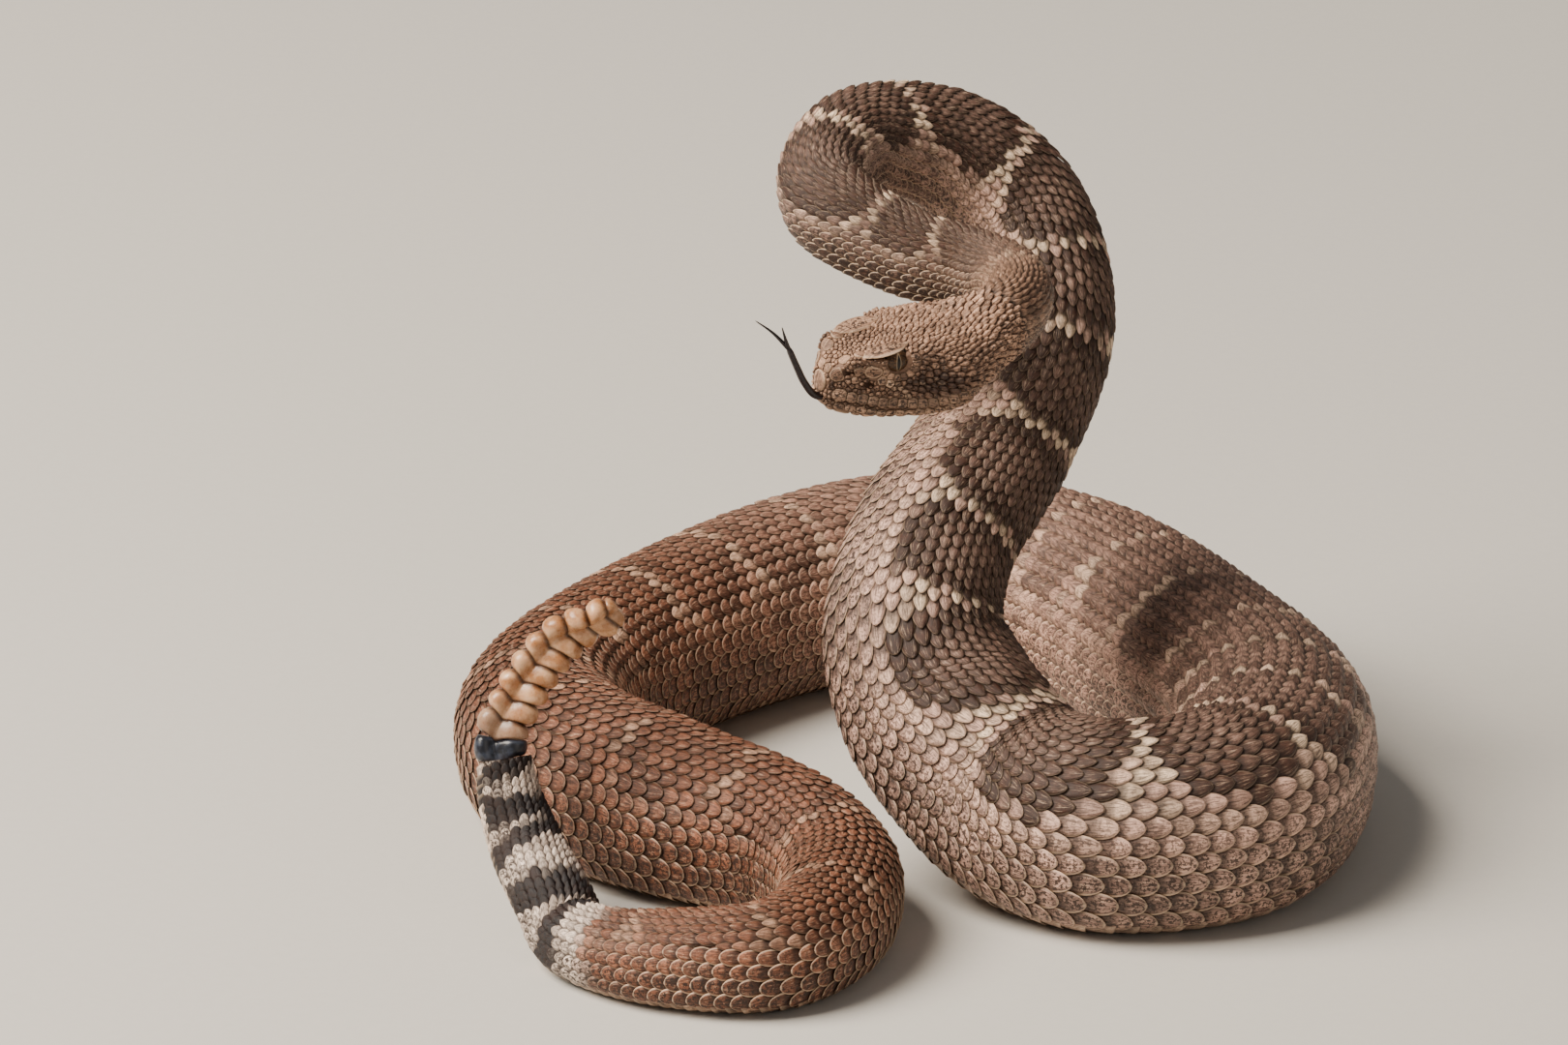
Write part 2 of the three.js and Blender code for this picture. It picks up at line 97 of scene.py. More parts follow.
BACK = np.array([  # place along the body, the way that the back faces there
    [0, 0.95, 0.1, 0.3], [25, 0.7, 0.2, 0.7], [60, 0.1, 0.1, 1], [640, 0, 0, 1],
    [672, 0.4, 0, 0.9], [705, 0.67, -0.6, 0.4], [760, 0.6, -0.75, 0.2], [805, 0.75, -0.65, 0.2],
    [835, 0.65, -0.4, 0.6], [862, 0.25, -0.4, 0.9], [890, -0.1, -0.4, 0.9],
    [915, -0.2, -0.1, 1], [945, 0.1, -0.2, 1], [975, 0.2, -0.6, 0.8], [995, 0, -0.2, 1],
])
SETTLE = 0.962  # height of the middle over the ground, against half the body's height
LIFT_SOFT = 0.2  # how gently the body leaves the ground, against half its height
WIDER = 1.03  # width against height
BACK_ROUND = 1.95  # exponents of the section above and below
BELLY_FLAT = 3.0
BEND_STEP = 6  # how far on either side of a place its bend is measured
BEND_MOST = 0.92  # the furthest that the skin reaches towards a bend's centre, against its radius
BEND_FREE = 0.6  # the share of that up to which it isn't held back


def unit(vectors):
    return vectors / np.linalg.norm(vectors, axis=-1, keepdims=True)


def smoothstep(low, high, x):
    t = np.clip((x - low) / (high - low), 0, 1)
    return t * t * (3 - 2 * t)


def power(value, exponent):
    return np.sign(value) * np.abs(value) ** exponent


def curve_through(points):
    """A smooth curve through points as many short steps, and the distance along it of each."""
    ends = np.vstack([2 * points[0] - points[1], points, 2 * points[-1] - points[-2]])
    chord = np.sqrt(np.linalg.norm(np.diff(ends, axis=0), axis=1))
    t = np.linspace(0, 1, 200, endpoint=False)[:, None]
    pieces = []
    for i in range(1, len(points)):
        a, b, c, d = ends[i - 1:i + 3]
        da, db, dc = chord[i - 1:i + 2]
        leave = db * ((b - a) / da - (c - a) / (da + db) + (c - b) / db)
        arrive = db * ((c - b) / db - (d - b) / (db + dc) + (d - c) / dc)
        rise = 3 * (c - b) - 2 * leave - arrive
        fall = 2 * (b - c) + leave + arrive
        pieces.append(b + t * (leave + t * (rise + t * fall)))
    line = np.vstack(pieces + [points[-1:]])
    steps = np.linalg.norm(np.diff(line, axis=0), axis=1)
    return line, np.concatenate([[0], np.cumsum(steps)])


def along(curve, place):
    line, distance = curve
    return np.stack([np.interp(place, distance, line[:, k]) for k in range(3)], axis=-1)


def keyed(rows, place):
    """A smooth curve through rows of (place, value, ...), read at many places."""
    x, y = rows[:, 0], rows[:, 1:]
    slope = np.empty_like(y)
    slope[1:-1] = (y[2:] - y[:-2]) / (x[2:] - x[:-2])[:, None]
    slope[0] = (y[1] - y[0]) / (x[1] - x[0])
    slope[-1] = (y[-1] - y[-2]) / (x[-1] - x[-2])
    i = np.clip(np.searchsorted(x, place) - 1, 0, len(x) - 2)
    span = (x[i + 1] - x[i])[:, None]
    t = np.clip((place - x[i])[:, None] / span, 0, 1)
    a, b = y[i], y[i + 1]
    m, n = slope[i] * span, slope[i + 1] * span
    return a + t * (m + t * (3 * (b - a) - 2 * m - n + t * (2 * (a - b) + m + n)))


body_curve = curve_through(BODY_ROUTE)
BODY_LENGTH = body_curve[1][-1]
print("body length in mm:", round(BODY_LENGTH, 1))

# %% [markdown]
# ## The skin as a table of points
# Scales have to know where they sit on the body. So the whole surface is worked out once as a table:
# one row for each millimetre along the body, one column for each step around it. Steps around are
# counted by distance on the skin, 0 on the back's middle line and 1 under the belly, because scales
# keep their width on the skin. Anything can then be placed by (distance along, share around).

# %% Sections of the body
AROUND = 192


def middle(place):
    point = along(body_curve, np.clip(place, 0, BODY_LENGTH))
    half = keyed(GIRTH, place)[:, 0]
    soft = LIFT_SOFT * half
    point[:, 2] = SETTLE * half + soft * np.log1p(np.exp((point[:, 2] - SETTLE * half) / soft))
    return point


def body_frame(place):
    ahead = unit(middle(np.minimum(place + 1, BODY_LENGTH)) - middle(np.maximum(place - 1, 0)))
    back = keyed(BACK, place)
    back = unit(back - ahead * np.sum(back * ahead, axis=-1, keepdims=True))
    return middle(place), ahead, back, np.cross(back, ahead)


def body_points(place, angles):
    """The surface at places along the body and angles from the back, kept open inside tight bends."""
    at, ahead, back, left = body_frame(place)
    half = keyed(GIRTH, place)
    exponent = np.where(np.cos(angles) >= 0, 2 / BACK_ROUND, 2 / BELLY_FLAT)
    side = WIDER * half * power(np.sin(angles), exponent)
    rise = half * power(np.cos(angles), exponent)
    offset = left[:, None] * side[..., None] + back[:, None] * rise[..., None]
    inner = np.clip(place, BEND_STEP, BODY_LENGTH - BEND_STEP)
    turn = middle(inner - BEND_STEP) + middle(inner + BEND_STEP) - 2 * middle(inner)
    size = np.maximum(np.linalg.norm(turn, axis=-1), 1e-6)
    towards = turn / size[:, None]
    most = (BEND_MOST * BEND_STEP * BEND_STEP / size)[:, None]
    inward = np.sum(offset * towards[:, None], axis=-1)
    free = BEND_FREE * most
    held = free + (most - free) * np.tanh((inward - free) / (most - free))
    offset += towards[:, None] * (np.where(inward > free, held, inward) - inward)[..., None]
    points = at[:, None] + offset
    points[..., 2] = np.maximum(points[..., 2], 0)
    return points


def even_ring(points):
    """Points of a ring that starts and ends under the belly, set evenly by distance from the back."""
    centre = points.shape[0] // 2
    reach = np.concatenate([[0], np.cumsum(np.linalg.norm(np.diff(points, axis=0), axis=1))])
    reach -= reach[centre]
    share = np.where(reach < 0, -reach / reach[0], reach / reach[-1])
    wanted = np.linspace(-1, 1, AROUND, endpoint=False)
    return np.stack([np.interp(wanted, share, points[:, k]) for k in range(3)], axis=-1)


ring_angles = np.linspace(-math.pi, math.pi, 361)
body_places = np.arange(0, BODY_LENGTH, 1.0)
body_rows = np.array([even_ring(ring) for ring in body_points(body_places, ring_angles)])
print("body table:", body_rows.shape)

# %% [markdown]
# ## The form of the head
# A pit viper's head is a blunt wedge: a squared snout with a sharp ridge from nostril to brow, a flat
# crown, and wide cheeks where the venom glands lie. It has its own frame, with the tip of the snout at
# the origin and the snout along +X, so that its features can be measured on one side and mirrored.

# %% Sections of the head
HEAD_TIP = np.array([-23.0, -65.8, 133.7])
HEAD_YAW, HEAD_PITCH, HEAD_ROLL = 210.1, 3.2, -9.7
HEAD_SECTIONS = np.array([  # behind the tip, half width, top, bottom, height of the widest place
    [0.05, 2.1, 0.5, -4.6, -1.8], [0.6, 3.2, 2.1, -6, -1.4], [2, 4.2, 4.1, -7.2, -0.9],
    [4.5, 6, 6, -8.2, -0.6], [8.5, 8.2, 6.8, -9.2, -0.7], [13, 9.7, 6.9, -10.1, -1.1],
    [17.5, 11, 8, -10.8, -1.5], [22, 12.8, 8.4, -11.3, -1.9], [27, 14.8, 8.2, -11.3, -2],
    [32, 15.7, 7.8, -10.5, -1.7], [36.5, 14, 7.6, -7.8, -0.7],
])
HEAD_SQUARE = (4.4, 2.3)  # exponent of the section at the snout and behind the cheeks
HEAD_END = HEAD_SECTIONS[-1, 0]
HEAD_REACH = 2.6  # how far the neck carries its own direction on into the head
RIDGE = {"angle": 0.86, "width": 0.3, "rise": 1.1, "grows": (1, 5), "fades": (20, 27)}
MOUTH = np.array([  # behind the tip, height of the line between the lips
    [-4, -3.9], [1, -3.9], [3.3, -4.5], [7, -5.1], [12, -6.4], [17, -7.1], [23, -7.3], [28, -6.3],
    [36.5, -4.6],
])

head_turn = np.array(
    Matrix.Rotation(math.radians(HEAD_YAW), 3, "Z")
    @ Matrix.Rotation(math.radians(HEAD_PITCH), 3, "Y")
    @ Matrix.Rotation(math.radians(HEAD_ROLL), 3, "X")
)


def to_head(points):
    return (points - HEAD_TIP) @ head_turn


def from_head(points):
    return points @ head_turn.T + HEAD_TIP


def mouth_height(behind):
    return keyed(MOUTH, np.ravel(behind))[:, 0].reshape(np.shape(behind))


def head_points(behind, angles):
    half, top, bottom, widest = (column[:, None] for column in keyed(HEAD_SECTIONS, behind).T)
    depth = smoothstep(2, HEAD_END, behind)[:, None]
    exponent = 2 / (HEAD_SQUARE[0] + (HEAD_SQUARE[1] - HEAD_SQUARE[0]) * depth)
    cosine = power(np.cos(angles), exponent)
    side = power(np.sin(angles), exponent)
    z = widest + cosine * np.where(cosine > 0, top - widest, widest - bottom)
    share = smoothstep(*RIDGE["grows"], behind) * (1 - smoothstep(*RIDGE["fades"], behind))
    off = (np.abs(angles) - RIDGE["angle"]) / RIDGE["width"]
    ridge = RIDGE["rise"] * share[:, None] * np.exp(-off * off)
    x = np.repeat(-behind[:, None], len(angles), axis=1)
    return np.stack([x, side * half + np.sign(side) * ridge, z + ridge], axis=-1)


def above_mouth(points):
    """How far points in the head's frame lie above the line between the lips."""
    return points[..., 2] - mouth_height(np.clip(-points[..., 0], -3, HEAD_END))


HEAD_STEP = 0.34
SNOUT_PLACES = [1.0, 0.72, 0.5, 0.3, 0.15, 0.06]  # closer rows round the tip, behind it
SNOUT_CLOSING = [(0.8, 0.12), (0.55, 0.2), (0.28, 0.24)]  # size of a last ring, how far forward
head_places = np.concatenate([np.arange(HEAD_END, 1.1, -HEAD_STEP), SNOUT_PLACES])
head_rows = np.array([even_ring(ring) for ring in head_points(head_places, ring_angles)])
front = head_rows[-1]
for shrink, forward in SNOUT_CLOSING:
    centre = front.mean(axis=0)
    ring = centre + (front - centre) * shrink + np.array([forward, 0, 0])
    head_rows = np.concatenate([head_rows, ring[None]])

PASSAGE_ROWS = 38
neck_ring = to_head(body_rows[-1])
neck_ahead = body_frame(np.array([BODY_LENGTH]))[1][0] @ head_turn
passage = []
for t in np.linspace(1, 0, PASSAGE_ROWS + 2)[1:-1]:
    ring = head_rows[0] + (neck_ring - head_rows[0]) * t * t * (3 - 2 * t)
    ring = ring + HEAD_REACH * (neck_ahead * t * t * (1 - t) - np.array([1, 0, 0]) * t * (1 - t) ** 2)
    passage.append(ring)
rows = np.concatenate([body_rows, from_head(np.array(passage)), from_head(head_rows)])
NAPE_ROW = len(body_rows)
CHEEK_ROW = NAPE_ROW + PASSAGE_ROWS
print("surface rows:", rows.shape, "head from row", CHEEK_ROW)

# %% [markdown]
# ## The features of the head
# Nostrils, heat pits, eye sockets and the line of the mouth are pressed into the wedge, and the lips,
# brows and cheeks swell out of it. Each is one push along the skin's own normal, fading with distance
# from its centre, which is how a sculptor would work them into clay.

# %% Press and swell the head's skin
EYE_AT = np.array([-15.4, 8.1, 5.2])
EYE_RADIUS = 2.8
NOSTRIL_AT = np.array([-4.2, 6.5, 3.3])
HEAT_PIT_AT = np.array([-8.5, 8.8, 0.1])
HEAD_PUSHES = [  # push outwards, place, reach each way, how sharp its border is
    (-1.9, NOSTRIL_AT, (1.05, 3.0, 0.85), 4),
    (0.35, NOSTRIL_AT + (0.4, 0, 0.2), (2.6, 3.0, 2.0), 2),
    (-2.0, HEAT_PIT_AT, (1.3, 3.0, 0.85), 4),
    (-0.5, (-8.8, 8.6, 2.4), (3.0, 3.0, 1.5), 2),  # the hollow over the heat pit
    (-0.9, EYE_AT, (2.9, 4.0, 2.7), 4),
    (-0.6, (-13.0, 0, 8.2), (5.5, 2.8, 4.0), 2),  # the dip between the brows
    (-0.3, (-3.6, 0, 6.0), (2.2, 3.5, 3.0), 2),  # the dip on the snout
    (0.4, (-29, 14, -1), (5, 6, 4), 2),  # the cheeks
    (0.8, (-6.2, 5.6, 6.0), (2.6, 2.2, 2.2), 2),  # the corners of the snout's ridge
]
LIPS = {"swell": 0.3, "off": 1.3, "width": 0.8, "press": 0.35, "line": 0.24}
MOUTH_STARTS, MOUTH_ENDS = (-0.5, 1.5), (33, HEAD_END)


def normals_of(table):
    """Outward unit normals of a table of rings."""
    lengthwise = np.gradient(table, axis=0)
    crosswise = np.roll(table, -1, axis=1) - np.roll(table, 1, axis=1)
    normal = np.cross(crosswise, lengthwise)
    outward = table - table.mean(axis=1, keepdims=True)
    if np.sum(normal * outward) < 0:
        normal = -normal
    size = np.linalg.norm(normal, axis=-1, keepdims=True)
    return normal / np.maximum(size, 1e-9)


def bump(points, at, radii, sharpness):
    """1 at a place of the head and 0 beyond radii from it, on both sides alike."""
    mirrored = points * np.array([1, 0, 1]) + np.abs(points) * np.array([0, 1, 0])
    distance = np.linalg.norm((mirrored - at) / radii, axis=-1)
    return np.exp(-(distance ** 2) ** (sharpness / 2) * 1.2)


def shape_head(table):
    local = to_head(table)
    normal = normals_of(table)
    behind = -local[..., 0]
    lip = above_mouth(local)
    on_mouth = smoothstep(*MOUTH_STARTS, behind) * (1 - smoothstep(*MOUTH_ENDS, behind))
    push = LIPS["swell"] * np.exp(-((np.abs(lip) - LIPS["off"]) / LIPS["width"]) ** 2) * on_mouth
    push -= LIPS["press"] * np.exp(-((lip / LIPS["line"]) ** 2)) * on_mouth
    for amount, at, radii, sharpness in HEAD_PUSHES:
        push += amount * bump(local, at, radii, sharpness)
    return table + normal * push[..., None]


rows[CHEEK_ROW - PASSAGE_ROWS // 2:] = shape_head(rows[CHEEK_ROW - PASSAGE_ROWS // 2:])
rows[..., 2] = np.maximum(rows[..., 2], 0)
row_normals = normals_of(rows)
print("head shaped, highest point", round(float(rows[..., 2].max()), 1))

# %% [markdown]
# ## The markings
# A diamondback's pattern sits on its scales: each scale is one colour, so edges are stepped, not drawn.
# Dark blotches with a pale edge follow one another down the back, closer together where the body is
# thin. The flanks are pale and finely speckled, the tail is chalk white with black rings.
# Four numbers describe a place: how dark, how pale, how warm and how speckled it is.
# How dark also holds painted shade: on the lower flanks, on the neck from its loop on, and most on the
# nape.

# %% Where the skin is dark, pale, warm or speckled
PALE_LINES = np.array([  # places along the body where a pale line crosses the back
    537, 556, 577, 600, 630, 684, 724, 748, 778, 803, 821, 847, 875, 895, 928, 943,
])
PALE_STEP = 27  # from one to the next on the hind body and on the nape
TAIL_RINGS = np.array([[0.5, 3.0], [11.5, 4.2], [26.5, 4.3], [41.5, 4.3], [58.5, 4.5]])
TAIL_PALE_END = 68
PATTERN_STRENGTH = np.array([  # place along the body, how strongly the blotches stand out there
    [0, 0.3], [240, 0.3], [330, 0.4], [400, 0.42], [540, 0.6], [600, 0.9], [660, 1], [930, 1],
    [970, 0.25],
])
BLOTCH_REACH, REACH_VARIES = 0.43, 0.03  # how far round a blotch comes down the side
SIDE_BLOTCH_AT, SIDE_BLOTCH_HALF, SIDE_BLOTCH_DARK = 0.58, 0.08, 0.42
# painted shade: the lower flanks, the neck and the nape are made darker, as where shade falls
FLANK_SHADE, NECK_SHADE, NAPE_SHADE = 0.36, 0.32, 0.4  # how much darker than the pale ground
FLANK_SHADE_FROM, NECK_SHADE_FROM, NAPE_SHADE_FROM, NAPE_SHADE_TO = (0.42, 0.7), (835, 875), (900, 925), (960, 985)
WARM_FADES = [(0.65, 300, 420), (0.35, 480, 640)]  # how much less warm, from and to along the body
RING_WAVE, RING_RAGGED, RING_SOFT = 3.5, 1.2, 1.2  # millimetres

line_places = np.concatenate([
    PALE_LINES[0] - PALE_STEP * np.arange(20, 0, -1),
    PALE_LINES,
    PALE_LINES[-1] + PALE_STEP * np.arange(1, 4),
])


def blotch_place(place, around):
    """0 at a blotch's middle, 1 on its pale edge, more on the flank."""
    count = np.interp(place, line_places, np.arange(len(line_places)))
    phase = 2 * np.abs(count - np.floor(count) - 0.5)
    number = np.floor(count)
    reach = BLOTCH_REACH + REACH_VARIES * np.sin(2.4 * number)
    return (phase ** 3.2 + np.abs(around / reach) ** 2.6) ** (1 / 2.9), phase


def markings(place, around, wobble):
    """Dark (painted shade included), pale, warm and speckled shares at places on the body."""
    inside, phase = blotch_place(place, around)
    inside = inside + 0.05 * wobble
    side = np.abs(around)
    strength = np.interp(place, PATTERN_STRENGTH[:, 0], PATTERN_STRENGTH[:, 1])
    dark = 0.75 + 0.25 * smoothstep(0.4, 0.78, inside)
    dark = dark * (1 - smoothstep(0.84, 0.9, inside)) * strength
    pale = smoothstep(0.9, 0.95, inside) * (1 - smoothstep(1.02, 1.08, inside)) * strength
    pale = pale * (1 - 0.9 * smoothstep(0.24, 0.42, side))
    off = (side - SIDE_BLOTCH_AT) / SIDE_BLOTCH_HALF
    side_blotch = smoothstep(0.5, 0.8, phase) * np.exp(-(off ** 2))
    dark = np.maximum(dark, SIDE_BLOTCH_DARK * strength * side_blotch)
    # painted shade on the lower flanks, on the neck from its loop on, and on the nape
    shaded = FLANK_SHADE * smoothstep(*FLANK_SHADE_FROM, side) + NECK_SHADE * smoothstep(*NECK_SHADE_FROM, place)
    in_nape_shade = smoothstep(*NAPE_SHADE_FROM, place) * (1 - smoothstep(*NAPE_SHADE_TO, place))
    shaded = shaded + NAPE_SHADE * in_nape_shade
    dark = dark + shaded * (1 - dark) * (1 - pale)
    warm = 1 - sum(share * smoothstep(low, high, place) for share, low, high in WARM_FADES)
    speckled = 0.3 + 0.7 * smoothstep(0.3, 0.55, side)
    on_tail = 1 - smoothstep(TAIL_PALE_END - 3, TAIL_PALE_END + 3, place + 2 * wobble)
    ring = np.zeros_like(place)
    for at, half in TAIL_RINGS:
        bent = place + RING_WAVE * np.sin(2.2 * around + at) + RING_RAGGED * wobble
        off = np.abs(bent - at)
        ring = np.maximum(ring, 1 - smoothstep(half - RING_SOFT, half + RING_SOFT, off))
    dark = dark * (1 - on_tail)
    pale = pale * (1 - on_tail)
    return dark, pale, warm, speckled, on_tail, ring


# %% [markdown]
# ## Reading the table between its points
# Scales are curved plates, so each of their corners asks the table for the nearest four points and
# blends them. The same is done with the normals, which say which way is out.

# %% Points on and over the skin
def blend_table(table, place, around):
    i = np.clip(place, 0, NAPE_ROW - 1.001)
    j = (around + 1) / 2 * AROUND
    i0 = np.floor(i).astype(int)
    j0 = np.floor(j).astype(int)
    fi = (i - i0)[..., None]
    fj = (j - j0)[..., None]
    j0, j1 = j0 % AROUND, (j0 + 1) % AROUND
    i1 = i0 + 1
    low = table[i0, j0] * (1 - fj) + table[i0, j1] * fj
    high = table[i1, j0] * (1 - fj) + table[i1, j1] * fj
    return low * (1 - fi) + high * fi


def skin_point(place, around, height):
    normal = blend_table(row_normals, place, around)
    point = blend_table(rows, place, around) + unit(normal) * height[..., None]
    point[..., 2] = np.maximum(point[..., 2], 0)
    return point


def mesh_object(name, points, faces, smooth=True):
    """A mesh from points in millimetres and equal faces, placed at the origin in metres."""
    mesh = bpy.data.meshes.new(name)
    faces = np.asarray(faces)
    corners = faces.shape[1]
    mesh.vertices.add(len(points))
    mesh.vertices.foreach_set("co", ((points + CENTRING) * MM).astype(np.float32).ravel())
    mesh.loops.add(faces.size)
    mesh.loops.foreach_set("vertex_index", faces.ravel().astype(np.int32))
    mesh.polygons.add(len(faces))
    mesh.polygons.foreach_set("loop_start", np.arange(0, faces.size, corners, dtype=np.int32))
    mesh.polygons.foreach_set("use_smooth", np.full(len(faces), smooth))
    mesh.update(calc_edges=True)
    mesh.validate()
    made = bpy.data.objects.new(name, mesh)
    bpy.context.scene.collection.objects.link(made)
    return made


def add_numbers(piece, **numbers):
    """Numbers that a material reads, three for each corner of the mesh."""
    for name, values in numbers.items():
        layer = piece.data.attributes.new(name, "FLOAT_VECTOR", "POINT")
        layer.data.foreach_set("vector", values.astype(np.float32).ravel())


def add_bake_map(piece, corner_uv):
    layer = piece.data.uv_layers.new(name="OFBake")
    layer.data.foreach_set("uv", corner_uv.astype(np.float32).ravel())


print("table helpers ready")

# %% [markdown]
# ## Materials
# Snake scale is keratin, like a fingernail: thin, satin, slightly translucent, with the pigment in the
# skin below. One material reads the numbers that each scale carries and mixes the animal's own colours,
# then adds a paler rim, fine streaks and dark specks, which every scale has, and painted shade at the
# root.

# %% Colour helpers
def srgb(text):
    """A hex colour as linear red, green, blue and 1."""
    values = [int(text[i:i + 2], 16) / 255 for i in (1, 3, 5)]
    linear = [v / 12.92 if v <= 0.04045 else ((v + 0.055) / 1.055) ** 2.4 for v in values]
    return (*linear, 1.0)


def add_node(material, kind, inputs=(), output=0, **settings):
    """Add a node with its settings and links. Its inputs are given in order or by name, as values
    or as other nodes' outputs, and one of its own outputs is given back."""
    node = material.node_tree.nodes.new("ShaderNode" + kind)
    for key, value in settings.items():
        setattr(node, key, value)
    pairs = inputs.items() if isinstance(inputs, dict) else enumerate(inputs)
    for key, value in pairs:
        if isinstance(value, bpy.types.NodeSocket):
            material.node_tree.links.new(value, node.inputs[key])
        else:
            node.inputs[key].default_value = value
    return node.outputs[output] if len(node.outputs) else None


def new_material(name):
    """An empty material, and the call that adds nodes to it."""
    material = bpy.data.materials.new(name)
    material.use_nodes = True
    material.node_tree.nodes.clear()
    return material, partial(add_node, material)


SMOOTH = {"interpolation_type": "SMOOTHSTEP"}  # a range map: value, from low and high, to low and high
MULTIPLY = {"operation": "MULTIPLY"}


def painted(add, color, *coats):
    """A colour with thin coats of other colours laid over it, each by its share from 0 to 1."""
    for share, coat in coats:
        under, over = (srgb(paint) if isinstance(paint, str) else paint for paint in (color, coat))
        color = add("Mix", {0: share, 6: under, 7: over}, 2, data_type="RGBA")
    return color


def tinted(add, color, tint):
    """A colour made lighter or darker by a number."""
    grey = add("CombineColor", (tint, tint, tint))
    return add("Mix", {0: 1.0, 6: color, 7: grey}, 2, data_type="RGBA", blend_type="MULTIPLY")


print("middle grey as linear light:", round(srgb("#808080")[0], 3))

# %% Scale keratin
FLANK = "#dcb29f"  # pinkish grey of the sides
# the blotches' dark brown, also the colour of the painted shade that the dark share holds
BLOTCH_AND_SHADE = "#3c1d0e"
PALE_EDGE = "#f0d3b4"
WARM_HIND = "#945b40"
HEAD_TAN = "#d0a386"
# the darkest brown: specks, dark tips and streaks, and painted shade at scale roots and in the skin
SPECK_AND_SHADE = "#25140c"
CHALK = "#f4dfcf"
RING_BLACK = "#17161b"
SPECK_SIZE, STAIN_SIZE, GRAIN_SIZE, CREASE_SIZE = 0.8, 7, 0.18, 0.5  # millimetres
STREAK_COUNT, STREAK_WAVES, STREAK_SPREAD = 8, 2.4, 90  # across a scale, along it, from one to another
TINT_LOW, TINT_HIGH = 0.72, 1.18  # the darkest and the palest scale against the middle one
# the root's share is painted shade, under the edge of the scale in front
STAIN_SHARE, SOOT_SHARE, SPECK_SHARE, ROOT_SHADE_SHARE, RIM_SHARE = 0.4, 0.55, 0.92, 0.75, 0.6
STREAK_DARK, STREAK_PALE = 0.68, 0.34
KERATIN_IOR = 1.46
# the skin is darker than the scales partly in its own colour and partly as painted shade of the grooves
SKIN_DARK_AND_SHADE = 0.68  # how much darker the skin is than the scales on it


def body_color(add, head_share):
    """The colour of a place from its marking numbers, and how dark, ringed and speckled it is."""
    tone = add("Attribute", output="Vector", attribute_name="tone")
    extra = add("Attribute", output="Vector", attribute_name="extra")
    dark, pale, warm = add("SeparateXYZ", (tone,)).node.outputs
    on_tail, ring, speckled = add("SeparateXYZ", (extra,)).node.outputs
    tail = painted(add, CHALK, (ring, RING_BLACK))
    color = painted(
        add, FLANK, (warm, WARM_HIND), (head_share, HEAD_TAN), (dark, BLOTCH_AND_SHADE), (pale, PALE_EDGE),
        (on_tail, tail),
    )
    return color, dark, ring, speckled


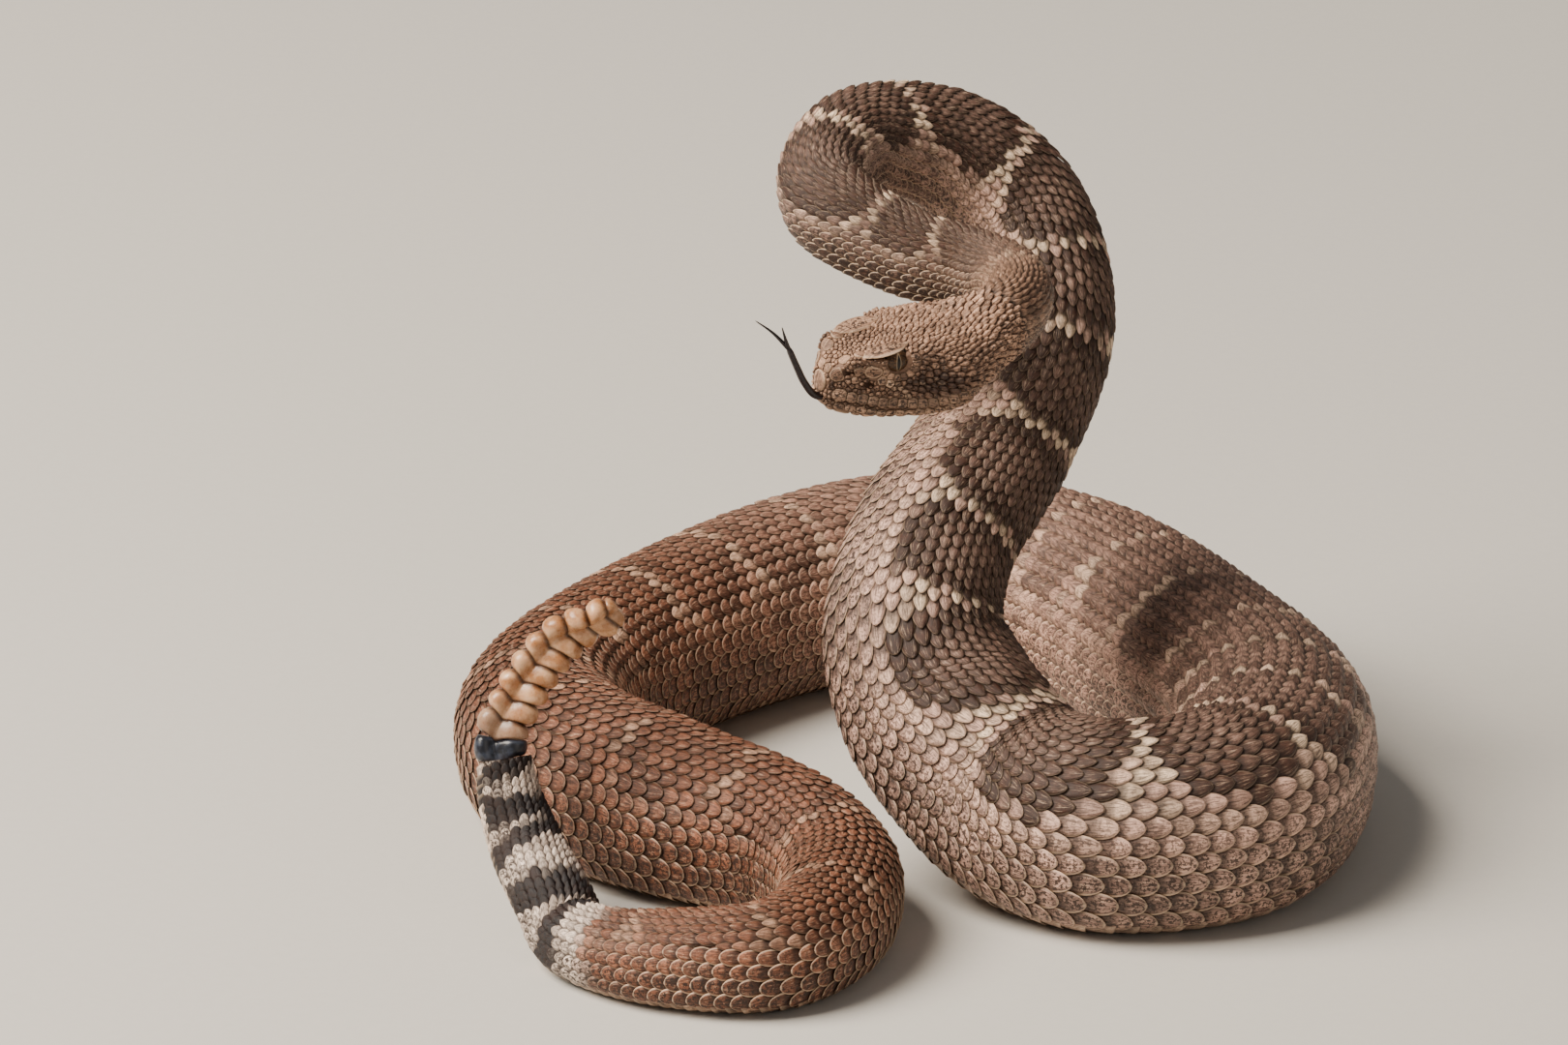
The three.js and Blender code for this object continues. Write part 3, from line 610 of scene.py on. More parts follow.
def scale_material():
    """Keratin that grew in thin sheets: satin, finely streaked, pale-rimmed, with painted shade at its
    root.
    """
    material, add = new_material("scale_keratin")
    place = add("TexCoord", output="Object")
    lay = add("Attribute", output="Vector", attribute_name="lay")
    chance = add("Attribute", output="Vector", attribute_name="chance")
    across, down, rimmed = add("SeparateXYZ", (lay,)).node.outputs
    luck, side_way, head_share = add("SeparateXYZ", (chance,)).node.outputs
    color, dark, ring, speckled = body_color(add, head_share)
    tint = add("MapRange", (luck, 0, 1, TINT_LOW, TINT_HIGH), **SMOOTH)
    color = tinted(add, color, tint)

    # a broad stain, darker in some scales than in others
    stain = add(
        "TexNoise",
        {"Vector": place, "Scale": 1 / (STAIN_SIZE * MM), "Detail": 2, "Roughness": 0.6},
    )
    stained = add("MapRange", (stain, 0.48, 0.7, 0, STAIN_SHARE), **SMOOTH)
    # blotch scales are brown in the middle and blackest at their free end
    end = add("MapRange", (down, 0.6, 0.95, 0, 1), **SMOOTH)
    soot = add("Math", (dark, end), **MULTIPLY)
    soot = add("Math", (soot, SOOT_SHARE), **MULTIPLY)
    color = painted(add, color, (stained, BLOTCH_AND_SHADE), (soot, SPECK_AND_SHADE))

    # fine streaks along each scale, dark on its colour and pale everywhere but on the black rings
    shuffled = add("Math", (luck, 7.31), **MULTIPLY)
    shuffled = add("Math", (shuffled,), operation="FRACT")
    streak_way = (
        add("Math", (across, STREAK_COUNT), **MULTIPLY),
        add("Math", (down, STREAK_WAVES), **MULTIPLY),
        add("Math", (shuffled, STREAK_SPREAD), **MULTIPLY),
    )
    streak_at = add("CombineXYZ", streak_way)
    streaks = add("TexNoise", {"Vector": streak_at, "Scale": 1, "Detail": 3, "Roughness": 0.6})
    streak_dark = add("MapRange", (streaks, 0.49, 0.6, 0, STREAK_DARK), **SMOOTH)
    streak_pale = add("MapRange", (streaks, 0.45, 0.32, 0, STREAK_PALE), **SMOOTH)
    off_ring = add("Math", (1.0, ring), operation="SUBTRACT")
    streak_pale = add("Math", (streak_pale, off_ring), **MULTIPLY)

    # specks as fine as pepper, fewer at the scale's side edges
    pepper = add(
        "TexNoise",
        {"Vector": place, "Scale": 1 / (SPECK_SIZE * MM), "Detail": 2, "Roughness": 0.7},
    )
    specks = add("MapRange", (pepper, 0.5, 0.55, 0, 1), **SMOOTH)
    off_edge = add("MapRange", (side_way, 0.95, 0.6, 0, 1), **SMOOTH)
    for share in (speckled, off_edge, SPECK_SHARE):
        specks = add("Math", (specks, share), **MULTIPLY)

    # painted shade at the root, where the scale in front lies over it, and a rim that is pale on the
    # flank
    root = add("MapRange", (down, 0.62, 0.35, 0, ROOT_SHADE_SHARE), **SMOOTH)
    edge = add("MapRange", (side_way, 0.78, 0.95, 0, 1), **SMOOTH)
    tip = add("MapRange", (down, 0.9, 1.0, 0, 1), **SMOOTH)
    rim = add("Math", (edge, tip), operation="MAXIMUM")
    rim_share = add("Math", (rimmed, RIM_SHARE), **MULTIPLY)
    pale_rim = add("Math", (rim, rim_share), **MULTIPLY)
    unrimmed = add("Math", (0.7, rimmed), operation="SUBTRACT", use_clamp=True)
    dark_rim = add("Math", (edge, unrimmed), **MULTIPLY)
    color = painted(
        add, color, (streak_dark, SPECK_AND_SHADE), (streak_pale, PALE_EDGE), (specks, SPECK_AND_SHADE), (root, SPECK_AND_SHADE),
        (dark_rim, SPECK_AND_SHADE), (pale_rim, PALE_EDGE),
    )

    grain = add(
        "TexNoise",
        {"Vector": place, "Scale": 1 / (GRAIN_SIZE * MM), "Detail": 3, "Roughness": 0.6},
    )
    height = add("Math", (streaks, grain), operation="ADD")
    relief = add("Bump", {"Strength": 0.7, "Distance": 0.2 * MM, "Height": height})
    dull = add("MapRange", (grain, 0.3, 0.7, 0.42, 0.62), **SMOOTH)
    surface = add(
        "BsdfPrincipled",
        {"Base Color": color, "Roughness": dull, "IOR": KERATIN_IOR, "Normal": relief},
    )
    add("OutputMaterial", (surface,))
    return material


def soft_skin_material():
    """The skin between the scales: darker than they are, partly as painted shade, dry and finely creased.
    """
    material, add = new_material("soft_skin")
    place = add("TexCoord", output="Object")
    chance = add("Attribute", output="Vector", attribute_name="chance")
    head_share = add("SeparateXYZ", (chance,), 2)
    color = body_color(add, head_share)[0]
    creases = add(
        "TexNoise",
        {"Vector": place, "Scale": 1 / (CREASE_SIZE * MM), "Detail": 4, "Roughness": 0.6},
    )
    creased = add("MapRange", (creases, 0.45, 0.65, 0, 0.5), **SMOOTH)
    color = painted(add, color, (SKIN_DARK_AND_SHADE, SPECK_AND_SHADE), (creased, SPECK_AND_SHADE))
    relief = add("Bump", {"Strength": 0.5, "Distance": 0.2 * MM, "Height": creases})
    surface = add(
        "BsdfPrincipled",
        {"Base Color": color, "Roughness": 0.7, "IOR": 1.45, "Normal": relief},
    )
    add("OutputMaterial", (surface,))
    return material


scale_keratin = scale_material()
soft_skin = soft_skin_material()
print("materials:", scale_keratin.name, soft_skin.name)

# %% [markdown]
# ## The skin under the scales
# Between the scales a snake has thin soft skin. One closed skin runs from the tail to the tip of the
# snout, so no seam shows where one length of the body meets the next. It lies about half a millimetre
# under the scales' tops.

# %% Make the skin
SKIN_DEPTH, HEAD_SKIN_DEPTH = 0.55, 0.3
SKIN_EVERY = 3  # take one row in this many along the body
NAPE_FADE = (925, 980)  # along the neck, where the body's colours turn into the head's


def tone_numbers(place, around, chance):
    """The markings at places of the body, as the two rows of numbers that the materials read."""
    dark, pale, warm, speckled, on_tail, ring = markings(place, around, chance * 2 - 1)
    return np.stack([dark, pale, warm], axis=-1), np.stack([on_tail, ring, speckled], axis=-1)


def grid_quads(rings, sides):
    """The four corners of each face between rings of points that close round."""
    i, j = np.meshgrid(np.arange(rings - 1), np.arange(sides), indexing="ij")
    following = (j + 1) % sides
    corners = [i * sides + j, (i + 1) * sides + j, (i + 1) * sides + following, i * sides + following]
    return np.stack(corners, axis=-1).reshape(-1, 4)


def loft_faces(rings, sides):
    """Triangles of a closed loft of rings, with a point at each end after the rings."""
    quads = grid_quads(rings, sides)
    turn = np.arange(sides)
    near, far = rings * sides, rings * sides + 1
    last = (rings - 1) * sides
    first_fan = np.stack([np.full(sides, near), (turn + 1) % sides, turn], axis=-1)
    last_fan = np.stack([np.full(sides, far), last + turn, last + (turn + 1) % sides], axis=-1)
    return np.concatenate([quads[:, [0, 3, 2]], quads[:, [0, 2, 1]], first_fan, last_fan])


def closed_loft(rings):
    """The points of a loft, with its two end points."""
    ends = [rings[0].mean(axis=0), rings[-1].mean(axis=0)]
    return np.concatenate([rings.reshape(-1, 3), ends])


skin_rows = np.concatenate([np.arange(0, NAPE_ROW, SKIN_EVERY), np.arange(NAPE_ROW, len(rows))])
depth = np.where(skin_rows >= NAPE_ROW, HEAD_SKIN_DEPTH, SKIN_DEPTH)[:, None, None]
skin_points = rows[skin_rows] - row_normals[skin_rows] * depth
skin_points[..., 2] = np.maximum(skin_points[..., 2], 0)
skin_faces = loft_faces(len(skin_rows), AROUND)[:, ::-1]  # these rings run the other way round
skin = mesh_object("skin", closed_loft(skin_points), skin_faces)
print("skin faces:", len(skin.data.polygons))

# %% [markdown]
# ## Rows of scales
# A diamondback has about twenty-seven rows of scales round its middle and fewer near the ends, where
# single rows stop and their neighbours close up. Along the body one scale follows another every four
# or five millimetres, neighbouring rows are half a step apart, and each scale overlaps the next ones.
# A row that stops is thinned to nothing over a short distance.

# %% Lay out the rows
ROWS = 27
ROW_STOPS = [  # place, row counted from the flank, +1 where it stops towards the tail, -1 to the head
    (300, 5, 1), (236, 8, 1), (182, 4, 1), (138, 9, 1), (98, 6, 1), (800, 5, -1), (860, 8, -1),
]
BELLY_SHARE = 0.25  # of the way round, taken by the belly plates
STOP_SOFT, SHIFT_SOFT = 12, 45  # how far a stopping row is thinned, how far its neighbours shift
PITCH_LEAST, PITCH_GIRTH = 1.7, 0.085  # the step to the next scale, and its growth with the girth
ROW_WIDTH, FLANK_WIDER, LOWEST_WIDER = 0.74, 0.26, 0.5  # of a row on the back, and how much wider

row_numbers = np.arange(ROWS)
flank_number = np.minimum(row_numbers, ROWS - 1 - row_numbers)


def scale_pitch(place):
    return PITCH_LEAST + PITCH_GIRTH * keyed(GIRTH, place)[:, 0]


def row_kept(place):
    """How much of each row is left at places along the body."""
    kept = np.ones((len(place), ROWS))
    for at, number, way in ROW_STOPS:
        there = smoothstep(-STOP_SOFT, STOP_SOFT, way * (place - at))
        kept[:, flank_number == number] *= there[:, None]
    return kept


def row_shift(place):
    """Half a step for each stopped row between a row and the back, so that rows stay staggered."""
    shift = np.zeros((len(place), ROWS))
    for at, number, way in ROW_STOPS:
        gone = 1 - smoothstep(-SHIFT_SOFT, SHIFT_SOFT, way * (place - at))
        shift[:, flank_number < number] += 0.5 * gone[:, None]
    return shift


kept = row_kept(body_places)
low_rows_wider = FLANK_WIDER * smoothstep(11, 4, flank_number)
low_rows_wider = low_rows_wider + LOWEST_WIDER * np.exp(-flank_number / 1.2)
weight = kept * (ROW_WIDTH + low_rows_wider)
total = weight.sum(axis=1, keepdims=True)
row_edge = np.cumsum(weight, axis=1) / total
row_middle = (row_edge - weight / total / 2) * 2 - 1
row_middle = row_middle * (1 - BELLY_SHARE)
row_half = weight / total * (1 - BELLY_SHARE)
shift = row_shift(body_places)
steps = np.concatenate([[0], np.cumsum(1 / scale_pitch(body_places))[:-1]])
print("rows of scales:", ROWS, "scales in a row:", round(float(steps[-1])))

# %% [markdown]
# ## One scale
# The plate of a scale is drawn in its own space: x across, y from the hidden root to the free tip. Its
# outline widens to the middle and rounds to the tip; its height climbs from under the scale in front,
# with a keel along the middle. Flank scales are rounder, flatter and larger, with almost no keel.

# %% Draw the scale's plate
SCALE_X = np.array([-1, -0.5, 0, 0.5, 1])
SCALE_Y = np.array([0, 0.22, 0.44, 0.58, 0.71, 0.83, 0.93, 1.0])
NX, NY = len(SCALE_X), len(SCALE_Y)
TOP_COUNT = NX * NY
LOW_X = 0.92  # how wide the underside is against the top
WIDEST_AT = 0.45  # share of the length
ROOT_WIDTH = 0.6
LEAST_WIDTH = 0.1
ROOT_HEIGHT, CLIMB, DOME, WALL = -0.55, 0.75, 0.17, 0.2  # millimetres
KEEL_HALF = 0.25
BAKE_PATCH = 0.003
PATCH_TOP = 0.72  # the share of a patch across that the scale's top takes
PATCH_WALLS = (0.76, 0.96)  # where the side walls' upper edges lie beside it
PATCH_LOW, LOW_STEP = 0.82, 0.08  # where the underside lies between those


def plate_faces():
    """Triangles of a closed plate: a top grid, side walls, end walls and a ladder underneath."""
    top = np.arange(TOP_COUNT).reshape(NY, NX)
    left, right = (TOP_COUNT + 2 * np.arange(NY) + side for side in (0, 1))
    faces = []
    for iy in range(NY - 1):
        over = iy + 1
        for ix in range(NX - 1):
            faces += [(top[iy, ix], top[iy, ix + 1], top[over, ix + 1])]
            faces += [(top[iy, ix], top[over, ix + 1], top[over, ix])]
        faces += [(top[iy, 0], top[over, 0], left[over]), (top[iy, 0], left[over], left[iy])]
        faces += [(top[iy, -1], right[iy], right[over]), (top[iy, -1], right[over], top[over, -1])]
        faces += [(left[iy], left[over], right[over]), (left[iy], right[over], right[iy])]
    half = NX // 2
    for iy, way in ((0, 1), (NY - 1, -1)):
        wall = [(top[iy, ix], left[iy], top[iy, ix + 1]) for ix in range(half)]
        wall += [(top[iy, half], left[iy], right[iy])]
        wall += [(top[iy, ix], right[iy], top[iy, ix + 1]) for ix in range(half, NX - 1)]
        faces += [face[::way] for face in wall]
    return np.array(faces)


def plate_map(faces):
    """Where each corner of each triangle lies in the plate's own patch, with nothing overlapping."""
    top_x = np.tile((SCALE_X + 1) / 2, NY) * PATCH_TOP
    low_y = SCALE_Y * 0.8 + 0.1
    top_y = np.repeat(low_y, NX)
    uv = []
    for face in faces:
        tops = face[face < TOP_COUNT]
        lows = face[face >= TOP_COUNT] - TOP_COUNT
        on_wall = [
            len(lows) > 0 and np.all(tops % NX == column) and np.all(lows % 2 == side)
            for side, column in enumerate((0, NX - 1))
        ]
        on_end = len(lows) > 0 and len(tops) > 0 and not any(on_wall)
        for corner in face:
            iy, side = divmod(corner - TOP_COUNT, 2)
            if corner < TOP_COUNT:
                x, y = top_x[corner], top_y[corner]
                x = PATCH_WALLS[on_wall.index(True)] if any(on_wall) else x
            elif on_end:
                x, y = PATCH_TOP * side, float(iy > 0)
            else:
                x, y = PATCH_LOW + LOW_STEP * side, low_y[iy]
            uv.append((x, y))
    return np.array(uv) * BAKE_PATCH


PLATE_FACES = plate_faces()
PLATE_MAP = plate_map(PLATE_FACES)
print("triangles in one scale:", len(PLATE_FACES))


def build_scales(name, place, around, half_around, length, look, bake_u, bake_v):
    """A joined mesh of scales. look holds each one's keel, lift, roundness, rim and chance."""
    count = len(place)
    x = np.concatenate([np.tile(SCALE_X, NY), np.tile([-LOW_X, LOW_X], NY)])[None]
    y = np.concatenate([np.repeat(SCALE_Y, NX), np.repeat(SCALE_Y, 2)])[None]
    each = x.shape[1]
    is_low = (np.arange(each) >= TOP_COUNT)[None]
    keel, lift, roundness, rim, chance = (value[:, None] for value in look)
    t = np.clip((y - WIDEST_AT) / (1 - WIDEST_AT), 0, 1)
    hind = (1 - (0.985 * t) ** (1.5 + 0.7 * roundness)) ** (0.78 - 0.16 * roundness)
    front = ROOT_WIDTH + (1 - ROOT_WIDTH) * np.sin(math.pi / 2 * np.clip(y / WIDEST_AT, 0, 1))
    width = np.maximum(front * hind, LEAST_WIDTH)
    climb = ROOT_HEIGHT + CLIMB * lift * y ** 0.9
    dome = DOME * (1 - x * x) * smoothstep(0.0, 0.55, y) * (1 - 0.35 * y)
    ridge = keel * np.exp(-((x / KEEL_HALF) ** 2))
    ridge = ridge * smoothstep(0.2, 0.6, y) * (1 - 0.6 * smoothstep(0.85, 1, y))
    height = climb + np.where(is_low, -WALL, dome + ridge)
    y_used = np.where(is_low & (y == 1), 0.97, y)
    at = place[:, None] - (y_used - WIDEST_AT) * length[:, None]
    side = around[:, None] + x * width * half_around[:, None]
    points = skin_point(at, side, height)
    faces = (PLATE_FACES[None] + (np.arange(count) * each)[:, None, None]).reshape(-1, 3)
    piece = mesh_object(name, points.reshape(-1, 3), faces)
    tone, extra = tone_numbers(place, around, chance[:, 0])
    lucky = np.stack([chance[:, 0], 0 * place, smoothstep(*NAPE_FADE, place)], axis=-1)
    lucky = np.repeat(lucky, each, axis=0)
    lucky[:, 1] = np.abs(np.broadcast_to(x, at.shape)).ravel()
    add_numbers(
        piece, tone=np.repeat(tone, each, axis=0), extra=np.repeat(extra, each, axis=0), chance=lucky,
        lay=np.stack(np.broadcast_arrays(x, y, rim), axis=-1),
    )
    add_bake_map(piece, PLATE_MAP[None] + np.stack([bake_u, bake_v], axis=-1)[:, None])
    piece.data.materials.append(scale_keratin)
    return piece


# %% [markdown]
# ## Coat the body
# The coat is made a length at a time, with the same lengths as the solids, so that each piece stays a
# reasonable size. Every scale differs a little from its neighbours in lift, width and tint.

# %% Scales on every length of the body
BODY_LENGTHS = [
    ("tail", 86), ("hind_turn", 172), ("hind_body", 236), ("left_turn", 312),
    ("rear_left_body", 400), ("rear_right_body", 490), ("right_turn", 578), ("front_body", 652),
    ("rising_body", 716), ("raised_body", 790), ("arch", 852), ("neck_loop", 912), ("neck", BODY_LENGTH),
]
SCALE_OVERLAP = 1.8  # a scale's length against the step to the next one in its row
STAGGER = 0.35  # how far a scale may stand from its place, in millimetres
LEAST_ROW = 0.42  # a stopping row's scales end where it is thinner than this share
WIDER_THAN_ROW, WIDTH_VARIES = 1.16, 0.06  # so that neighbouring rows overlap
STRETCH_POWER = -0.45  # how much of the skin's stretch the scales don't follow
BAKE_SPREAD = 0.99
random = np.random.default_rng(11)


def row_value(table, place, row):
    i = np.clip(place, 0, NAPE_ROW - 1.001)
    i0 = i.astype(int)
    f = i - i0
    return table[i0, row] * (1 - f) + table[i0 + 1, row] * f


def stretch_at(place, around):
    """How far the skin is stretched at a place, against the middle line of the body."""
    a = blend_table(rows, place + 1.5, around)
    b = blend_table(rows, place - 1.5, around)
    return np.linalg.norm(a - b, axis=-1) / 3


scale_list = []
for row in range(ROWS):
    own_steps = steps + shift[:, row] + 0.5 * (row % 2)
    numbers = np.arange(math.ceil(own_steps[0]), math.floor(own_steps[-1]) + 1)
    found = np.interp(numbers, own_steps, body_places)
    scale_list.append(np.stack([found, np.full(len(found), row)], axis=-1))
scale_list = np.concatenate(scale_list)
scale_place = scale_list[:, 0]
scale_row = scale_list[:, 1].astype(int)
alive = row_value(kept, scale_place, scale_row) > LEAST_ROW
scale_place, scale_row = scale_place[alive], scale_row[alive]
luck = random.random((len(scale_place), 4))
scale_place = scale_place + (luck[:, 0] - 0.5) * STAGGER
scale_around = row_value(row_middle, scale_place, scale_row)
scale_half = row_value(row_half, scale_place, scale_row)
stretched = stretch_at(scale_place, scale_around)
scale_length = SCALE_OVERLAP * scale_pitch(scale_place) * np.clip(stretched, 0.5, 2) ** STRETCH_POWER
flank = np.minimum(scale_row, ROWS - 1 - scale_row)
on_back = smoothstep(3, 9, flank)
scale_half = scale_half * (WIDER_THAN_ROW + WIDTH_VARIES * on_back + WIDTH_VARIES * luck[:, 1])
scale_look = (
    0.06 + 0.32 * on_back,  # keel
    0.85 + 0.35 * luck[:, 2] + 0.1 * on_back,  # lift
    1 - 0.7 * on_back,  # roundness
    (1 - 0.75 * smoothstep(2, 7, flank)) * smoothstep(60, 90, scale_place),  # pale rim
    luck[:, 3],
)
coat = []
start = 0
for name, end in BODY_LENGTHS:
    here = (scale_place >= start) & (scale_place < end)
    bake_u = (scale_place[here] - start) / (end - start) * BAKE_SPREAD
    bake_v = (scale_around[here] + 1) / 2 * BAKE_SPREAD
    piece = build_scales(
        name + "_scales", scale_place[here], scale_around[here], scale_half[here], scale_length[here],
        [value[here] for value in scale_look], bake_u, bake_v,
    )
    coat.append(piece)
    start = end
print("body scales:", len(scale_place))

# %% [markdown]
# ## The belly plates
# Under a snake lies one row of wide plates, one for each pair of ribs, which grip the ground as it
# crawls. They could be cut from a ribbed tube, but each really overlaps the next one towards the tail
# and tucks under the lowest row of scales, so each is its own thin bent sheet, set by the same table.

# %% Plates under the belly
SCUTE_X = np.linspace(-1, 1, 13)
SCUTE_Y = np.array([0, 0.3, 0.6, 0.82, 0.95, 1.0])
SCUTE_REACH = 0.275  # half its width, as a share of half the way round
SCUTE_THICK = 0.35
SCUTE_OVERLAP = 1.35
SCUTE_ROOT, SCUTE_CLIMB, SCUTE_DROP = -0.45, 0.75, 0.3  # height at the root, rise, fall at the sides
SCUTE_PALE, SCUTE_SPECKLED, SCUTE_RIM = 0.5, 0.25, 0.4
TOP_PATCH, LOW_PATCH, WALL_PATCH = (0.06, 0.5), (0.66, 0.3), 0.03  # start and width across a patch
PATCH_UP = (0.06, 0.88)  # start and height of both


def sheet_faces(nx, ny):
    """Triangles of a closed sheet: a top grid, the same grid underneath, and walls round them."""
    low = nx * ny
    faces = []
    for iy in range(ny - 1):
        for ix in range(nx - 1):
            a, b = iy * nx + ix, iy * nx + ix + 1
            c, d = b + nx, a + nx
            faces += [(a, b, c), (a, c, d), (low + a, low + c, low + b), (low + a, low + d, low + c)]
    grid = np.arange(low).reshape(ny, nx)
    border = np.concatenate([grid[0], grid[1:, -1], grid[-1, -2::-1], grid[-2:0:-1, 0]])
    for a, b in zip(border, np.roll(border, -1)):
        faces += [(a, low + a, low + b), (a, low + b, b)]
    return np.array(faces)


def sheet_map(faces, x, y, count):
    """The sheet's own patch: the top on the left, the underside on the right, walls round the top."""
    uv = []
    for face in faces:
        start, across = LOW_PATCH if np.all(face >= count) else TOP_PATCH
        for corner in face:
            grow = WALL_PATCH if corner >= count and start == TOP_PATCH[0] else 0
            px, py = (x[corner % count] + 1) / 2, y[corner % count]
            uv.append((start - grow + px * (across + 2 * grow),
                       PATCH_UP[0] - grow + py * (PATCH_UP[1] + 2 * grow)))
    return np.array(uv) * BAKE_PATCH


SCUTE_FACES = sheet_faces(len(SCUTE_X), len(SCUTE_Y))
scute_x = np.tile(SCUTE_X, len(SCUTE_Y))
scute_y = np.repeat(SCUTE_Y, len(SCUTE_X))
SCUTE_MAP = sheet_map(SCUTE_FACES, scute_x, scute_y, len(scute_x))


def build_scutes(name, place, chance, start, end):
    count = len(place)
    x = np.tile(scute_x, 2)[None]
    y = np.tile(scute_y, 2)[None]
    is_low = (np.arange(x.shape[1]) >= len(scute_x))[None]
    length = SCUTE_OVERLAP * scale_pitch(place)[:, None]
    rise = SCUTE_ROOT + SCUTE_CLIMB * y ** 0.8 - SCUTE_DROP * np.abs(x) ** 6
    height = rise - np.where(is_low, SCUTE_THICK * (1 - 0.6 * y), 0)
    at = place[:, None] - (y - 0.4) * length - 1.2 * x * x * y
    around = 1 + x * SCUTE_REACH * (1 - 0.05 * (1 - y))
    points = skin_point(at, np.broadcast_to(around, at.shape), height)
    each = x.shape[1]
    offset = (np.arange(count) * each)[:, None, None]
    piece = mesh_object(name, points.reshape(-1, 3), (SCUTE_FACES[None] + offset).reshape(-1, 3))
    tone, extra = tone_numbers(place, np.ones(count), chance)
    lucky = np.stack([chance, 0 * chance, smoothstep(*NAPE_FADE, place)], axis=-1)
    tone, extra, lucky = (np.repeat(value[:, None], each, axis=1) for value in (tone, extra, lucky))
    side = np.abs(x) ** 3
    tone[..., 1] = SCUTE_PALE - 0.35 * side
    extra[..., 2] = SCUTE_SPECKLED + (1 - SCUTE_SPECKLED) * side
    lucky[..., 1] = np.abs(x) * 0.8
    lay = np.stack(np.broadcast_arrays(x * 0.3, 0.66 + 0.34 * y, SCUTE_RIM + 0 * at), axis=-1)
    add_numbers(piece, tone=tone, extra=extra, lay=lay, chance=lucky)
    bake = np.stack([(place - start) / (end - start) * BAKE_SPREAD, np.full(count, 0.992)], axis=-1)
    add_bake_map(piece, SCUTE_MAP[None] + bake[:, None])
    piece.data.materials.append(scale_keratin)
    return piece


scute_steps = steps + shift[:, 0]
numbers = np.arange(math.ceil(scute_steps[0]) + 1, math.floor(scute_steps[-1]))
scute_place = np.interp(numbers, scute_steps, body_places)
scute_chance = random.random(len(scute_place))
start = 0
for name, end in BODY_LENGTHS:
    here = (scute_place >= start) & (scute_place < end)
    coat.append(build_scutes(name + "_belly_plates", scute_place[here], scute_chance[here], start, end))
    start = end
print("belly plates:", len(scute_place))

# %% [markdown]
# ## The plates of the head
# A pit viper's crown is covered by small keeled grains, not by the large shields of a harmless snake.
# Larger plates sit only where something has to be framed: round the mouth, the nostril, the pit and the
# eye. So a few plates get their own places, and grains fill the rest: they are thrown at random, push
# one another apart as growing skin does, and each takes the ground that is nearer to it than to others.

# %% The head as a surface to search
HEAD_FROM = NAPE_ROW - 6
head_table = to_head(rows[HEAD_FROM:])
head_normals = row_normals[HEAD_FROM:] @ head_turn
head_tailward = -np.gradient(head_table, axis=0)
head_rings = len(head_table)
head_cells = grid_quads(head_rings, AROUND)
head_corners = head_table.reshape(-1, 3)
head_tree = BVHTree.FromPolygons(head_corners.tolist(), head_cells.tolist())


def on_head(points):
    """The nearest places on the head's skin, with the way out and the way to the tail there."""
    found = [head_tree.find_nearest(Vector(point)) for point in points]
    places = np.array([hit[0] for hit in found])
    cells = np.array([hit[2] for hit in found])
    ring, step = cells // AROUND, cells % AROUND
    normals = unit(head_normals[ring, step] + head_normals[ring + 1, (step + 1) % AROUND])
    way = head_tailward[ring, step]
    way = way - normals * np.sum(way * normals, axis=-1, keepdims=True)
    size = np.linalg.norm(way, axis=-1, keepdims=True)
    way = np.where(size > 1e-4, way / np.maximum(size, 1e-4), np.cross(normals, [0, 1, 0]))
    return places, normals, unit(way), ring, step


def seen_from(origin, way):
    hit = head_tree.ray_cast(Vector(origin), Vector(way))
    return np.array(hit[0])


print("head table:", head_table.shape)

# %% Places of the large plates
SIDE_PLATES = [  # behind the tip, height, radius
    (2.1, 2.7, 1.9), (6.2, 3.9, 1.3), (9.5, 3.7, 2.2), (5.6, 1.2, 0.8), (11.5, 1.0, 1.1),
    (13.2, 0.2, 1.0),
]
TOP_PLATES = [(1.3, 1.4, 1.2), (4.2, 3.9, 1.7), (7.6, 5.2, 1.6)]
UNDER_PLATES = [(4.6, 2.3, 2.2), (9.6, 2.4, 1.7)]
ROSTRAL_HEIGHT, ROSTRAL_RADIUS = -0.4, 2.7
MENTAL_HEIGHT, MENTAL_RADIUS = -5.4, 1.4
LIP_PLATES, LIP_START, LIP_STEP, LIP_OFF, LIP_RADIUS = 14, 2.7, 2.25, 1.6, 1.55
FIRST_LIP, LOWER_LIP = 1.25, 0.85  # size against the others
EYE_PLATE = 0.88
HOLES = [(EYE_AT, 2.75), (NOSTRIL_AT, 1.1), (HEAT_PIT_AT, 1.05)]  # place, radius kept bare
EYE_RING, EYE_RING_REACH = range(165, 385, 24), 3.7  # degrees round the eye, from in front and under it
BROW_AT = np.array([-13.4, 6.7, 7.4])
BROW_BARE = [(-4.2, 1.5), (-2.1, 2.1), (0, 2.4), (2.1, 2.1), (4.2, 1.5)]  # along the brow, radius


def from_side(side, x, z):
    return seen_from((x, 40 * side, z), (0, -side, 0))


def from_top(side, x, y):
    return seen_from((x, y * side, 40), (0, 0, -1))


